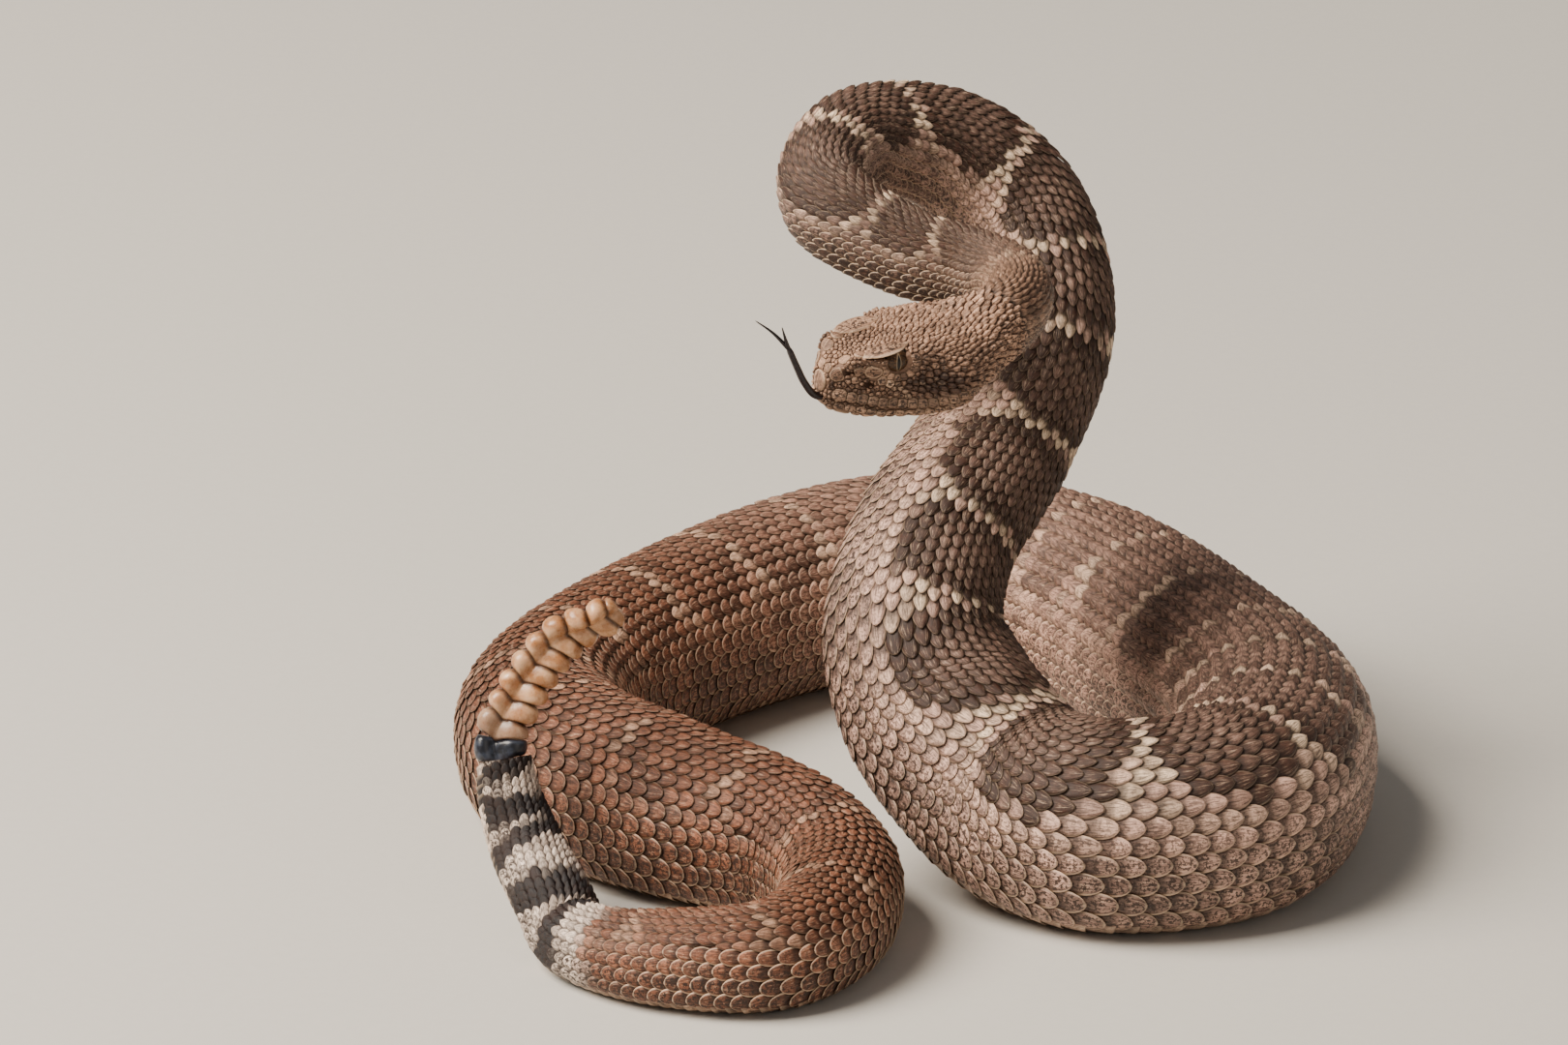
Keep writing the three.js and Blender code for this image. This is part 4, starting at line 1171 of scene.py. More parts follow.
# each seed is a place, a radius, and 1 where a plate grows or 0 where the ground stays bare
seeds = [(*seen_from((30, 0, ROSTRAL_HEIGHT), (-1, 0, 0)), ROSTRAL_RADIUS, 1),
         (*seen_from((30, 0, MENTAL_HEIGHT), (-1, 0, 0)), MENTAL_RADIUS, 1)]
for side in (1, -1):
    seeds += [(*from_side(side, -b, z), radius, 1) for b, z, radius in SIDE_PLATES]
    seeds += [(*from_top(side, -b, y), radius, 1) for b, y, radius in TOP_PLATES]
    seeds += [(*seen_from((-b, y * side, -40), (0, 0, 1)), radius, 1) for b, y, radius in UNDER_PLATES]
    for k in range(LIP_PLATES):
        behind = LIP_START + LIP_STEP * k
        lips = float(mouth_height(np.array([behind]))[0])
        upper = LIP_RADIUS * (FIRST_LIP if k == 0 else 1)
        seeds += [(*from_side(side, -behind, lips + LIP_OFF), upper, 1)]
        seeds += [(*from_side(side, -behind, lips - LOWER_LIP * LIP_OFF), LOWER_LIP * LIP_RADIUS, 1)]
    for angle in np.radians(EYE_RING):
        ring_x = EYE_AT[0] - EYE_RING_REACH * math.cos(angle)
        ring_z = EYE_AT[2] + EYE_RING_REACH * math.sin(angle)
        seeds += [(*from_side(side, ring_x, ring_z), EYE_PLATE, 1)]
    seeds += [(*from_side(side, at[0], at[2]), radius, 0) for at, radius in HOLES]
    seeds += [(*from_top(side, BROW_AT[0] + x, BROW_AT[1]), radius, 0) for x, radius in BROW_BARE]

# the last scales of the neck and the last belly plates keep their ground
last_scales = scale_place > BODY_LENGTH - 7
neck_ends = skin_point(scale_place[last_scales], scale_around[last_scales], np.zeros(last_scales.sum()))
seeds += [(*point, 0.9, 0) for point in to_head(neck_ends)]
throat = skin_point(np.full(5, BODY_LENGTH - 2.0), 1 + np.linspace(-0.2, 0.2, 5), np.zeros(5))
seeds += [(*point, 2.0, 0) for point in to_head(throat)]
seeds = np.array(seeds)
fixed_count = len(seeds)
print("placed plates:", int(seeds[:, 4].sum()))

# %% Throw the grains between them
GRAIN_RADIUS = {"snout": 0.55, "crown": 0.54, "nape": 0.7, "side": 0.7, "under": 1.2}
THROWS = 30000
APART = 0.84  # the closest that two grains may land, against their radii
PUSHES = 6
PUSH_REACH, PUSH_SHARE = 1.06, 0.35  # how near counts as crowded, how far one push goes
GRAIN_VARIES = (0.8, 0.4)  # the smallest grain, and how much larger the largest is
BARE_TIP_RINGS = 6  # of the neck's end, where no grain lands


def grain_radius(points, normals):
    behind = -points[:, 0]
    snout, crown = GRAIN_RADIUS["snout"], GRAIN_RADIUS["crown"]
    radius = snout + (crown - snout) * smoothstep(6, 22, behind)
    on_side = smoothstep(0.5, 0.9, np.abs(normals[:, 1])) * smoothstep(8, 24, behind)
    radius = radius + (GRAIN_RADIUS["side"] - radius) * on_side
    radius = radius + (GRAIN_RADIUS["nape"] - radius) * smoothstep(28, 42, behind)
    below = smoothstep(0.2, 0.7, -normals[:, 2]) * smoothstep(-3, -6, points[:, 2] - 0.12 * points[:, 0])
    return radius + (GRAIN_RADIUS["under"] - radius) * below


def lengthening(points):
    """How much longer than wide the grains are: round on the snout, long on the nape."""
    return 1 + 0.45 * smoothstep(12, 32, -points[:, 0])


a, b, c, d = (head_corners[head_cells[:, k]] for k in range(4))
cell_area = np.linalg.norm(np.cross(c - a, d - b), axis=1)
cell_area[head_cells[:, 0] < BARE_TIP_RINGS * AROUND] = 0
thrown = random.choice(len(head_cells), THROWS, p=cell_area / cell_area.sum())
spot = random.random((THROWS, 2))
a, b, c, d = (head_corners[head_cells[thrown, k]] for k in range(4))
low = a + (b - a) * spot[:, :1]
high = d + (c - d) * spot[:, :1]
landed, normals, ways, ring, step = on_head(low + (high - low) * spot[:, 1:])
radius = grain_radius(landed, normals)
radius = radius * (GRAIN_VARIES[0] + GRAIN_VARIES[1] * random.random(THROWS))
stretch = lengthening(landed)
grains = np.zeros((THROWS, 5))
grains[:fixed_count] = seeds
count = fixed_count
for k in range(THROWS - fixed_count):
    offset = grains[:count, :3] - landed[k]
    lengthwise = offset @ ways[k]
    flat = offset - ways[k] * lengthwise[:, None] * (1 - 1 / stretch[k])
    if np.all(np.linalg.norm(flat, axis=1) > APART * (grains[:count, 3] + radius[k])):
        grains[count] = (*landed[k], radius[k], 1)
        count += 1
grains = grains[:count]
for push in range(PUSHES):
    own, normals, ways, ring, step = on_head(grains[:, :3])
    stretch = lengthening(own)
    offset = grains[None, :, :3] - grains[:, None, :3]
    lengthwise = np.einsum("ijk,ik->ij", offset, ways)
    flat = offset - ways[:, None] * (lengthwise * (1 - 1 / stretch[:, None]))[..., None]
    distance = np.linalg.norm(flat, axis=-1) + np.eye(count) * 1e6
    want = (grains[:, None, 3] + grains[None, :, 3]) * PUSH_REACH
    shove = np.maximum(1 - distance / want, 0)
    move = -np.sum(offset / distance[..., None] * (shove * want)[..., None], axis=1) * PUSH_SHARE
    move[:fixed_count] = 0
    places = on_head(grains[:, :3] + move)[0]
    grains[fixed_count:, :3] = places[fixed_count:]
print("grains on the head:", count - fixed_count)

# %% [markdown]
# ## One plate of the head
# A grain is a low dome with a groove round it. Its edge is found in many directions: half way to each
# neighbour, a little nearer to the smaller one, with the corners rounded. Towards the nape the grains
# grow a keel, lean back and overlap, until they are scales like those of the neck.

# %% Grow the plates
GROOVE = 0.07  # half the width of the groove between two plates
MOUTH_GROOVE = 0.02
NEIGHBOURS = 18
CORNER = 20  # how square the corners of a plate are
ROOT_DEPTH = 0.65
LEAST_REACH, MOST_REACH = 0.3, 1.35  # of a plate's edge, against its radius
LIPS_MEET = (-1, 34)  # behind the tip, from and to
KEEL_RISE, LEAN, LONGER = 0.4, 0.6, 0.42  # of the grains on the nape

own, normals, ways, ring, step = on_head(grains[:, :3])
across = np.cross(normals, ways)
is_placed = np.arange(count) < fixed_count
stretch = np.where(is_placed, 1 + 0.25 * smoothstep(14, 32, -own[:, 0]), lengthening(own))
backward = smoothstep(10, 32, -own[:, 0]) * (1 - 0.6 * smoothstep(0.3, 0.8, -normals[:, 2]))
backward = np.where(is_placed, 0.3 * backward, backward)
grain_luck = random.random((count, 3))


def radial_faces(turns, rings):
    """Triangles of a closed round plate: a fan, rings, a wall and a fan underneath."""
    at = 1 + np.arange(rings * turns).reshape(rings, turns)
    after = np.roll(at, -1, axis=1)
    under = 1 + rings * turns
    faces = []
    for k in range(turns):
        faces.append((0, at[0, k], after[0, k]))
        for ring in range(rings - 1):
            faces.append((at[ring, k], at[ring + 1, k], after[ring + 1, k]))
            faces.append((at[ring, k], after[ring + 1, k], after[ring, k]))
        faces.append((under, after[-1, k], at[-1, k]))
    return np.array(faces)


def radial_map(faces, turns, reach):
    """The plate's own patch: its top and wall as one disc, its underside as a small one beside it."""
    rings = len(reach)
    under = 1 + rings * turns
    uv = []
    for face in faces:
        below = under in face
        for v in face:
            ring, turn = ((v - 1) // turns, (v - 1) % turns) if 0 < v < under else (-1, 0)
            angle = 2 * math.pi * turn / turns
            size = 0.0 if ring < 0 else (0.1 if below else reach[ring])
            centre = (0.12, 0.12) if below else (0.58, 0.58)
            uv.append((centre[0] + size * math.cos(angle), centre[1] + size * math.sin(angle)))
    return np.array(uv) * BAKE_PATCH


def plate_reaches(chosen, turns):
    """How far each chosen plate reaches in each direction, before it is made longer."""
    at = own[chosen]
    offset = grains[None, :, :3] - at[:, None]
    x = np.einsum("ijk,ik->ij", offset, ways[chosen]) / stretch[chosen][:, None]
    y = np.einsum("ijk,ik->ij", offset, across[chosen])
    distance = np.linalg.norm(offset, axis=-1)
    flat = np.hypot(x, y)
    near = np.argsort(np.where(distance < 1e-5, 1e6, distance), axis=1)[:, :NEIGHBOURS]
    x, y, flat = (np.take_along_axis(values, near, axis=1) for values in (x, y, flat))
    flat = np.maximum(flat, 0.2)
    radius, other = grains[chosen, 3][:, None], grains[near, 3]
    across_lips = above_mouth(at)[:, None] * above_mouth(grains[near, :3]) < 0
    apart = across_lips & (-at[:, :1] < LIPS_MEET[1]) & (-at[:, :1] > LIPS_MEET[0])
    gap = GROOVE + MOUTH_GROOVE * apart
    half_way = (flat ** 2 + radius ** 2 - other ** 2) / (2 * flat) - gap
    half_way = np.maximum(half_way, LEAST_REACH * radius)
    cosine = (x / flat)[..., None] * np.cos(turns) + (y / flat)[..., None] * np.sin(turns)
    press = np.maximum(cosine, 1e-3) / half_way[..., None]
    reach = np.sum(press ** CORNER, axis=1) ** (-1 / CORNER)
    return np.minimum(reach, MOST_REACH * radius)


CHEEK_AT, CHEEK_HALF = (24, -0.8), (8, 3.6)  # behind the tip and height
EYE_LINE = {"behind": 13.2, "height": 0.7, "fall": 0.95, "half": 1.1}  # the pale line under the eye
LINE_STARTS, LINE_ENDS = (9.5, 11.5), (18, 20.5)
# the snout's and the side's shares are painted shade; the cheek's and the chance's are the head's own
# dark
HEAD_DARK_AND_SHADE = {"cheek": 0.75, "snout": 0.2, "side": 0.28, "chance": 0.25}
LIP_PALE, LINE_PALE = 0.12, 0.4


def head_markings(points, normals, chance):
    """Dark, pale and speckled shares on the head: pale lips, dark cheek, pale line under the eye."""
    behind, height = -points[:, 0], points[:, 2]
    on_side = smoothstep(0.35, 0.7, np.abs(normals[:, 1]))
    lips = above_mouth(points)
    far_back, far_up = (behind - CHEEK_AT[0]) / CHEEK_HALF[0], (height - CHEEK_AT[1]) / CHEEK_HALF[1]
    cheek = np.exp(-((far_back ** 2 + far_up ** 2) ** 1.5)) * on_side
    off = height - EYE_LINE["height"] + EYE_LINE["fall"] * (behind - EYE_LINE["behind"])
    line = np.exp(-((off / EYE_LINE["half"]) ** 2)) * on_side
    line = line * smoothstep(*LINE_STARTS, behind) * (1 - smoothstep(*LINE_ENDS, behind))
    snout = on_side * (1 - smoothstep(9, 15, behind)) * smoothstep(-3, -1, height)
    pale = LIP_PALE * (1 - smoothstep(0.5, 3.4, lips)) * (1 - 0.5 * smoothstep(20, 30, behind))
    pale = pale + LINE_PALE * line
    # painted shade on the sides of the head and the snout, with the dark cheek and dark scales at random
    dark = HEAD_DARK_AND_SHADE["cheek"] * cheek + HEAD_DARK_AND_SHADE["snout"] * snout + HEAD_DARK_AND_SHADE["side"] * on_side
    dark = dark + HEAD_DARK_AND_SHADE["chance"] * (chance > 0.7)
    dark = dark * (1 - 0.8 * line)
    speckled = 0.5 + 0.5 * smoothstep(0.4, 0.8, np.abs(normals[:, 1]))
    fade = 1 - smoothstep(32, 42, behind)
    return np.clip(dark, 0, 1) * fade, np.clip(pale, 0, 1) * fade, speckled


def grow_plates(name, chosen, turn_total, shares, dome, flatness, rimmed):
    """Closed domes for the chosen plates, joined in one piece, with their colours and their bake map."""
    total = len(chosen)
    turns = np.linspace(0, 2 * math.pi, turn_total, endpoint=False)
    reach = plate_reaches(chosen, turns)
    back = backward[chosen][:, None]
    reach = reach * (1 + LONGER * back * np.maximum(np.cos(turns), 0) ** 2)
    along_way = reach * np.cos(turns) * stretch[chosen][:, None]
    across_way = reach * np.sin(turns)
    share = shares[:, None]
    at, out = own[chosen], normals[chosen]
    flat_points = (
        at[:, None, None]
        + ways[chosen][:, None, None] * (along_way[:, None] * share)[..., None]
        + across[chosen][:, None, None] * (across_way[:, None] * share)[..., None]
    )
    size = np.minimum(grains[chosen, 3], 1.6)[:, None, None]
    height = dome * (0.3 + 0.12 * size) * (1 - share ** flatness) + 0.02
    is_ridge = np.abs(np.sin(turns)) < 0.2
    keel = KEEL_RISE * smoothstep(10, 22, -at[:, 0])[:, None, None] * is_ridge
    keel = keel * smoothstep(0.2, 0.8, out[:, 2])[:, None, None] * np.sin(math.pi * (0.2 + 0.75 * share))
    lean = LEAN * back[:, None] * share * np.cos(turns)
    luck = grain_luck[chosen]
    height = height + keel + lean + 0.12 * (luck[:, :1, None] - 0.5)
    top, top_out, _, _, _ = on_head(flat_points.reshape(-1, 3))
    top = top.reshape(flat_points.shape)
    top_out = top_out.reshape(flat_points.shape)
    plates = top + top_out * height[..., None]
    wall = top[:, -1] * 0.94 + at[:, None] * 0.06 - top_out[:, -1] * ROOT_DEPTH
    under = at - out * (ROOT_DEPTH + 0.1)
    plates = np.concatenate([
        plates[:, 0, :1], plates[:, 1:].reshape(total, -1, 3), wall, under[:, None]
    ], axis=1)
    each = plates.shape[1]
    plan = radial_faces(turn_total, len(shares))
    faces = (plan[None] + (np.arange(total) * each)[:, None, None]).reshape(-1, 3)
    piece = mesh_object(name, from_head(plates.reshape(-1, 3)), faces)

    dark, pale, speckled = head_markings(at, out, luck[:, 2])
    zero = np.zeros(total)
    out_share = np.concatenate([[0], np.repeat(shares[1:], turn_total), np.ones(turn_total), [1]])
    sideways = np.concatenate([[0], np.tile(np.sin(turns), len(shares)), [0]])
    lay = np.stack([out_share * sideways, np.full(each, 0.74), np.full(each, rimmed)], axis=-1)
    lay = np.tile(lay, (total, 1))
    on_snout = smoothstep(1.5, 3.0, above_mouth(at)) * (1 - smoothstep(11, 15, -at[:, 0]))
    lay[:, 2] *= 0.4 + 0.6 * np.repeat(on_snout, each)
    lucky = np.repeat(np.stack([luck[:, 1], zero, zero + 1], axis=-1)[:, None], each, axis=1)
    lucky[..., 1] = out_share
    add_numbers(
        piece, tone=np.repeat(np.stack([dark, pale, zero], axis=-1), each, axis=0),
        extra=np.repeat(np.stack([zero, zero, speckled], axis=-1), each, axis=0), lay=lay, chance=lucky,
    )
    bake = np.stack([-at[:, 0] / 60 + 0.1, step[chosen] / AROUND * BAKE_SPREAD], axis=-1)
    patch = radial_map(plan, turn_total, np.append(0.36 * shares[1:], 0.41))
    add_bake_map(piece, patch[None] + bake[:, None])
    piece.data.materials.append(scale_keratin)
    print(name + ":", total, "plates,", len(faces), "triangles")
    return piece


built = grains[:, 4] > 0
on_left = own[:, 1] > 0
PLATE_FORM = (32, np.array([0, 0.5, 0.74, 0.9, 1.0]), 0.55, 7, 0.6)  # turns, rings, dome, flatness, rim
GRAIN_FORM = (12, np.array([0, 0.5, 0.85, 1.0]), 1.0, 2.6, 0.0)
head_plates = [
    grow_plates("large_head_plates", np.flatnonzero(built & is_placed), *PLATE_FORM),
    grow_plates("left_head_grains", np.flatnonzero(built & ~is_placed & on_left), *GRAIN_FORM),
    grow_plates("right_head_grains", np.flatnonzero(built & ~is_placed & ~on_left), *GRAIN_FORM),
]

# %% [markdown]
# ## The brows
# A single smooth shield juts out over each eye and gives the animal its frown. It is a lens with a sharp
# outer edge, so it starts as a ball, is flattened below, pinched at its ends, and laid on the head.

# %% Shields over the eyes
BROW_HALF = (6.1, 2.7, 1.0)
BROW_TILT, BROW_LIFT = -4, 5
BROW_PINCHES = [(0.45, 0.94), (0.7, 0.86), (0.88, 0.8)]  # from this share of its length on, how narrow
BROW_UNDER = (0.92, 0.92, 0.4)  # size of the lower half
BROW_EDGE = (1, 1.05, 0.72)  # size of the outer edge
BROW_TOP_FROM, BROW_RIM = 0.12, 0.97
BROW_DARK, BROW_LUCK = 0.3, 0.55
HEAD_PLACE = Matrix.Translation(Vector(HEAD_TIP + CENTRING) * MM)
HEAD_PLACE = HEAD_PLACE @ Matrix(head_turn.tolist()).to_4x4()


def settle(piece, at, turn, size):
    """Give a new piece its place, turn and size in the head, all kept in its mesh."""
    local = Matrix.Translation(Vector(at) * MM) @ turn.to_4x4() @ Matrix.Diagonal((*size, 1))
    piece.matrix_world = HEAD_PLACE @ local
    bpy.ops.object.transform_apply(location=True, rotation=True, scale=True)


def new_ball(name, segments, ring_count):
    bpy.ops.object.select_all(action="DESELECT")
    bpy.ops.mesh.primitive_uv_sphere_add(segments=segments, ring_count=ring_count, radius=1)
    ball = bpy.context.object
    ball.name = name
    ball.data.name = name
    bpy.ops.object.shade_smooth()
    return ball


def resize_where(piece, wanted, size):
    """Select the corners that a test wants, and resize them about the piece's middle."""
    bpy.context.tool_settings.mesh_select_mode = (True, False, False)
    bpy.ops.object.mode_set(mode="EDIT")
    bpy.ops.mesh.select_all(action="DESELECT")
    bpy.ops.object.mode_set(mode="OBJECT")
    for corner in piece.data.vertices:
        corner.select = wanted(corner.co)
    bpy.ops.object.mode_set(mode="EDIT")
    bpy.ops.transform.resize(value=size, center_override=(0, 0, 0))
    bpy.ops.object.mode_set(mode="OBJECT")


def corners_of(piece):
    return np.array([corner.co[:] for corner in piece.data.vertices])


def add_brow(name, side):
    brow = new_ball(name, 48, 24)
    resize_where(brow, lambda co: co.z < -0.01, BROW_UNDER)
    for low, pinch in BROW_PINCHES:
        resize_where(brow, lambda co: abs(co.x) > low, (1, pinch, 1))
    resize_where(brow, lambda co: co.y * side > 0.55 and co.z > -0.01, BROW_EDGE)
    local = corners_of(brow)
    turn = Matrix.Rotation(math.radians(-side * BROW_TILT), 3, "X")
    turn = turn @ Matrix.Rotation(math.radians(BROW_LIFT), 3, "Y")
    settle(brow, BROW_AT * (1, side, 1), turn, [half * MM for half in BROW_HALF])
    total = len(local)
    reach = np.linalg.norm(local[:, :2], axis=1)
    edge = np.where(local[:, 2] > BROW_TOP_FROM, BROW_RIM * reach, 0.95)
    down = 0.76 + 0.12 * local[:, 0]
    add_numbers(
        brow, tone=np.tile([BROW_DARK, 0.0, 0.0], (total, 1)), extra=np.tile([0.0, 0.0, 1.0], (total, 1)),
        chance=np.stack([np.full(total, BROW_LUCK), edge, np.ones(total)], axis=-1),
        lay=np.stack([1.2 * local[:, 1], down, np.full(total, 0.8)], axis=-1),
    )
    brow.data.uv_layers[0].name = "OFBake"
    brow.data.materials.append(scale_keratin)
    return brow


brows = [add_brow("brow_left", 1), add_brow("brow_right", -1)]
print("brows:", [len(brow.data.polygons) for brow in brows])

# %% [markdown]
# ## The eyes
# A snake's eye has no lids: one clear scale covers it. Behind it lies a grey-brown iris, netted with
# darker lines, and an upright slit. A clear coat over a painted ball gives the same wet look without a
# second shell. The pattern follows the gaze, so each ball carries its own directions as numbers.

# %% Clear-covered eyes
EYE_SIZE, EYE_SUNK = (3.1, 2.95, 2.5), 0.05
GAZE = (0.2, 0.97, 0.05)  # forward, sideways and up from the head
IRIS_DARK = "#160d07"
IRIS_LIGHT = "#553a22"
PUPIL, PUPIL_GLOW, EYE_BORDER = "#050404", "#b39c80", "#120d0a"
PUPIL_HALF = 0.13  # of the eye's radius
PUPIL_TALL = 0.74
NET_COUNT = 9  # lines of the iris's net across its radius


def eye_material():
    """A clear scale over a netted iris: dark, wet and glossy, with a slit that takes the light in."""
    material, add = new_material("clear_eye_scale")
    gaze = add("Attribute", output="Vector", attribute_name="gaze")
    forward, upward, outward = add("SeparateXYZ", (gaze,)).node.outputs
    net = add("TexNoise", {"Vector": gaze, "Scale": NET_COUNT, "Detail": 4, "Roughness": 0.7})
    netted = add("MapRange", (net, 0.36, 0.66, 0, 1), **SMOOTH)
    rise = add("Math", (upward, PUPIL_TALL), operation="DIVIDE")
    rise = add("Math", (rise, rise), **MULTIPLY)
    width = add("Math", (1.0, rise), operation="SUBTRACT")
    width = add("Math", (width, PUPIL_HALF), **MULTIPLY)
    off = add("Math", (forward,), operation="ABSOLUTE")
    off = add("Math", (off, width), operation="SUBTRACT")
    glow = add("MapRange", (off, 0.1, 0.02, 0, 0.5), **SMOOTH)
    slit = add("MapRange", (off, 0.02, -0.01, 0, 1), **SMOOTH)
    border = add("MapRange", (outward, 0.5, 0.3, 0, 1), **SMOOTH)
    color = painted(
        add, IRIS_DARK, (netted, IRIS_LIGHT), (glow, PUPIL_GLOW), (slit, PUPIL), (border, EYE_BORDER)
    )
    surface = add(
        "BsdfPrincipled",
        {"Base Color": color, "Roughness": 0.4, "IOR": 1.3, "Coat Weight": 0.2, "Coat Roughness": 0.08},
    )
    add("OutputMaterial", (surface,))
    return material


def add_eye(name, side):
    eye = new_ball(name, 64, 32)
    gaze = corners_of(eye)
    out = unit(np.array(GAZE) * (1, side, 1))
    forward = unit(np.array([1, 0, 0]) - out * out[0])
    turn = Matrix(np.stack([forward, np.cross(out, forward), out], axis=-1).tolist())
    settle(eye, (EYE_AT - (0, EYE_SUNK, 0)) * (1, side, 1), turn, [size * MM for size in EYE_SIZE])
    add_numbers(eye, gaze=gaze)
    eye.data.uv_layers[0].name = "OFBake"
    eye.data.materials.append(clear_eye_scale)
    return eye


clear_eye_scale = eye_material()
eyes = [add_eye("clear_eye_left", 1), add_eye("clear_eye_right", -1)]
print("eyes:", [eye.name for eye in eyes])

# %% [markdown]
# ## The tongue
# The tongue slides out under the rostral plate, turns up, and splits into two tines that taper to
# hairs. Each part is a ribbon that thins along its length, which no bevel on a curve gives, so rings
# are lofted along the line. The tines start inside the stem, so the fork has no gap.

# %% Three tapering ribbons
TONGUE_LINES = [  # the line in the head's own frame, half width, half thickness, taper
    ([[-7, 0, -4.9], [-2.4, 0.6, -4.7], [1.7, 1.3, -3.2], [4.8, 1.5, 0.9], [7, 1.5, 5.5],
      [9.7, 1.5, 11.7]], 1.3, 1.0, 0.3),
    ([[9.5, 1.5, 11], [10.9, 2.1, 14.5], [12, 2.5, 17.6]], 0.65, 0.55, 0.8),
    ([[9.5, 1.5, 11], [13.2, 0.4, 15.4], [17.1, -1, 18.8]], 0.65, 0.55, 0.8),
]
TONGUE_SIDES, TONGUE_STEPS = 16, 40
TONGUE_END = 14  # how sharply an end closes
TONGUE_LEAST = 0.03
TONGUE_BLACK, TONGUE_PURPLE = "#0d0a0d", "#2a1c22"


def ribbon(line, half, thick, taper):
    curve = curve_through(np.array(line, dtype=float))
    places = np.linspace(0, curve[1][-1], TONGUE_STEPS)
    centre = along(curve, places)
    ahead = unit(np.gradient(centre, axis=0))
    wide = unit(np.array([0, 1, 0]) - ahead * ahead[:, 1:2])
    angles = np.linspace(0, 2 * math.pi, TONGUE_SIDES, endpoint=False)
    share = np.linspace(0, 1, TONGUE_STEPS)
    size = (1 - taper * share) * np.sqrt(np.clip((1 - share) * TONGUE_END, 0, 1))
    size = np.maximum(size, TONGUE_LEAST)[:, None, None]
    sideways = wide[:, None] * size * half * np.cos(angles)[:, None]
    upwards = np.cross(ahead, wide)[:, None] * size * thick * np.sin(angles)[:, None]
    return centre[:, None] + sideways + upwards


def loft_map(faces, ring_total, sides):
    """An unwrap of a loft: rings go up, sides go across, and the last side doesn't run back."""
    near = ring_total * sides
    turn = np.where(faces < near, faces % sides, 0)
    ring = np.where(faces < near, faces // sides, np.where(faces == near, -1, ring_total))
    wraps = (turn.max(axis=1) - turn.min(axis=1) > sides // 2)[:, None]
    turn = np.where(wraps & (turn == 0), sides, turn)
    return np.stack([turn / (sides + 1), (ring + 1) / (ring_total + 2)], axis=-1).reshape(-1, 2)


def moist_material():
    """Tongue skin: smooth, moist and nearly black, so it shows only as a line with a soft shine."""
    material, add = new_material("moist_tongue_skin")
    place = add("TexCoord", output="Object")
    fine = add("TexNoise", {"Vector": place, "Scale": 1 / (0.4 * MM), "Detail": 3, "Roughness": 0.6})
    cloudy = add("MapRange", (fine, 0.4, 0.7, 0, 1), **SMOOTH)
    relief = add("Bump", {"Strength": 0.3, "Distance": 0.1 * MM, "Height": fine})
    color = painted(add, TONGUE_BLACK, (cloudy, TONGUE_PURPLE))
    surface = add(
        "BsdfPrincipled", {"Base Color": color, "Roughness": 0.32, "IOR": 1.4, "Normal": relief}
    )
    add("OutputMaterial", (surface,))
    return material


ribbons = [closed_loft(ribbon(*line)) for line in TONGUE_LINES]
ribbon_faces = loft_faces(TONGUE_STEPS, TONGUE_SIDES)
tongue_faces = np.concatenate([ribbon_faces + k * len(ribbons[0]) for k in range(len(ribbons))])
forked_tongue = mesh_object("forked_tongue", from_head(np.concatenate(ribbons)), tongue_faces)
ribbon_map = loft_map(ribbon_faces, TONGUE_STEPS, TONGUE_SIDES)
ribbon_maps = [(ribbon_map + [k, 0]) / [len(ribbons), 1] for k in range(len(ribbons))]
add_bake_map(forked_tongue, np.concatenate(ribbon_maps))
forked_tongue.data.materials.append(moist_material())
print("tongue faces:", len(forked_tongue.data.polygons))

# %% [markdown]
# ## The rattle
# A rattle is a string of hollow horn caps, each the end of a shed skin, loosely locked in the next. Each
# shows as a fat ring with a groove down both sides, so it looks like two lobes. A lathe would make it
# round, so each cap is a loft whose section is pinched at the grooves, set along the tail's own line.

# %% Shapes of the rattle
RATTLE_ROUTE = np.array([
    [-94, -59, 50.5], [-88.6, -57.4, 59.5], [-81.8, -56.4, 67], [-71.7, -56.4, 72.3],
])
RATTLE_START, RATTLE_STRAIGHT = 0.15, 5
CAPS, CAP_PITCH, BLACK_LENGTH = 8, 5.1, 5.4
RATTLE_HEIGHT, RATTLE_THICK = 6.2, 3.9
RATTLE_SQUARE = (0.8, 0.9)
BLACK_GAP = 0.3  # between the black cap and the first horn one
LAST_CAP = 0.95  # girth against the first cap
GROOVE_AT, GROOVE_WIDE, GROOVE_DEEP, GROOVE_DRAG = 1.75, 0.36, 2.3, 1.4
CAP_SIDES = 72
CAP_PROFILE = np.array([  # share along a cap, girth there
    [-0.02, 0.52], [0.0, 0.64], [0.05, 0.78], [0.13, 0.9], [0.25, 0.985], [0.4, 1.03], [0.56, 1.02],
    [0.72, 0.97], [0.86, 0.87], [0.96, 0.75], [1.03, 0.62], [1.06, 0.46],
])
TIP_PROFILE = np.array([[-0.02, 0.6], [0.0, 0.7], [0.08, 0.76], [0.2, 0.72], [0.32, 0.55], [0.4, 0.35]])
BLACK_PROFILE = np.array([
    [0, 0.8], [0.06, 0.88], [0.16, 0.95], [0.32, 1.0], [0.52, 1.02], [0.72, 0.99], [0.88, 0.93],
    [0.98, 0.84],
])

tail_end, tail_ahead = (value[0] for value in body_frame(np.array([0.0]))[:2])
rattle_root = tail_end - tail_ahead * RATTLE_START
rattle_second = rattle_root - tail_ahead * RATTLE_STRAIGHT
rattle_curve = curve_through(np.vstack([rattle_root, rattle_second, RATTLE_ROUTE]))


def rattle_point(place):
    """A point of the rattle's line, which runs on straight past its end."""
    line, distance = rattle_curve
    return along(rattle_curve, place) + unit(line[-1] - line[-2]) * max(place - distance[-1], 0)


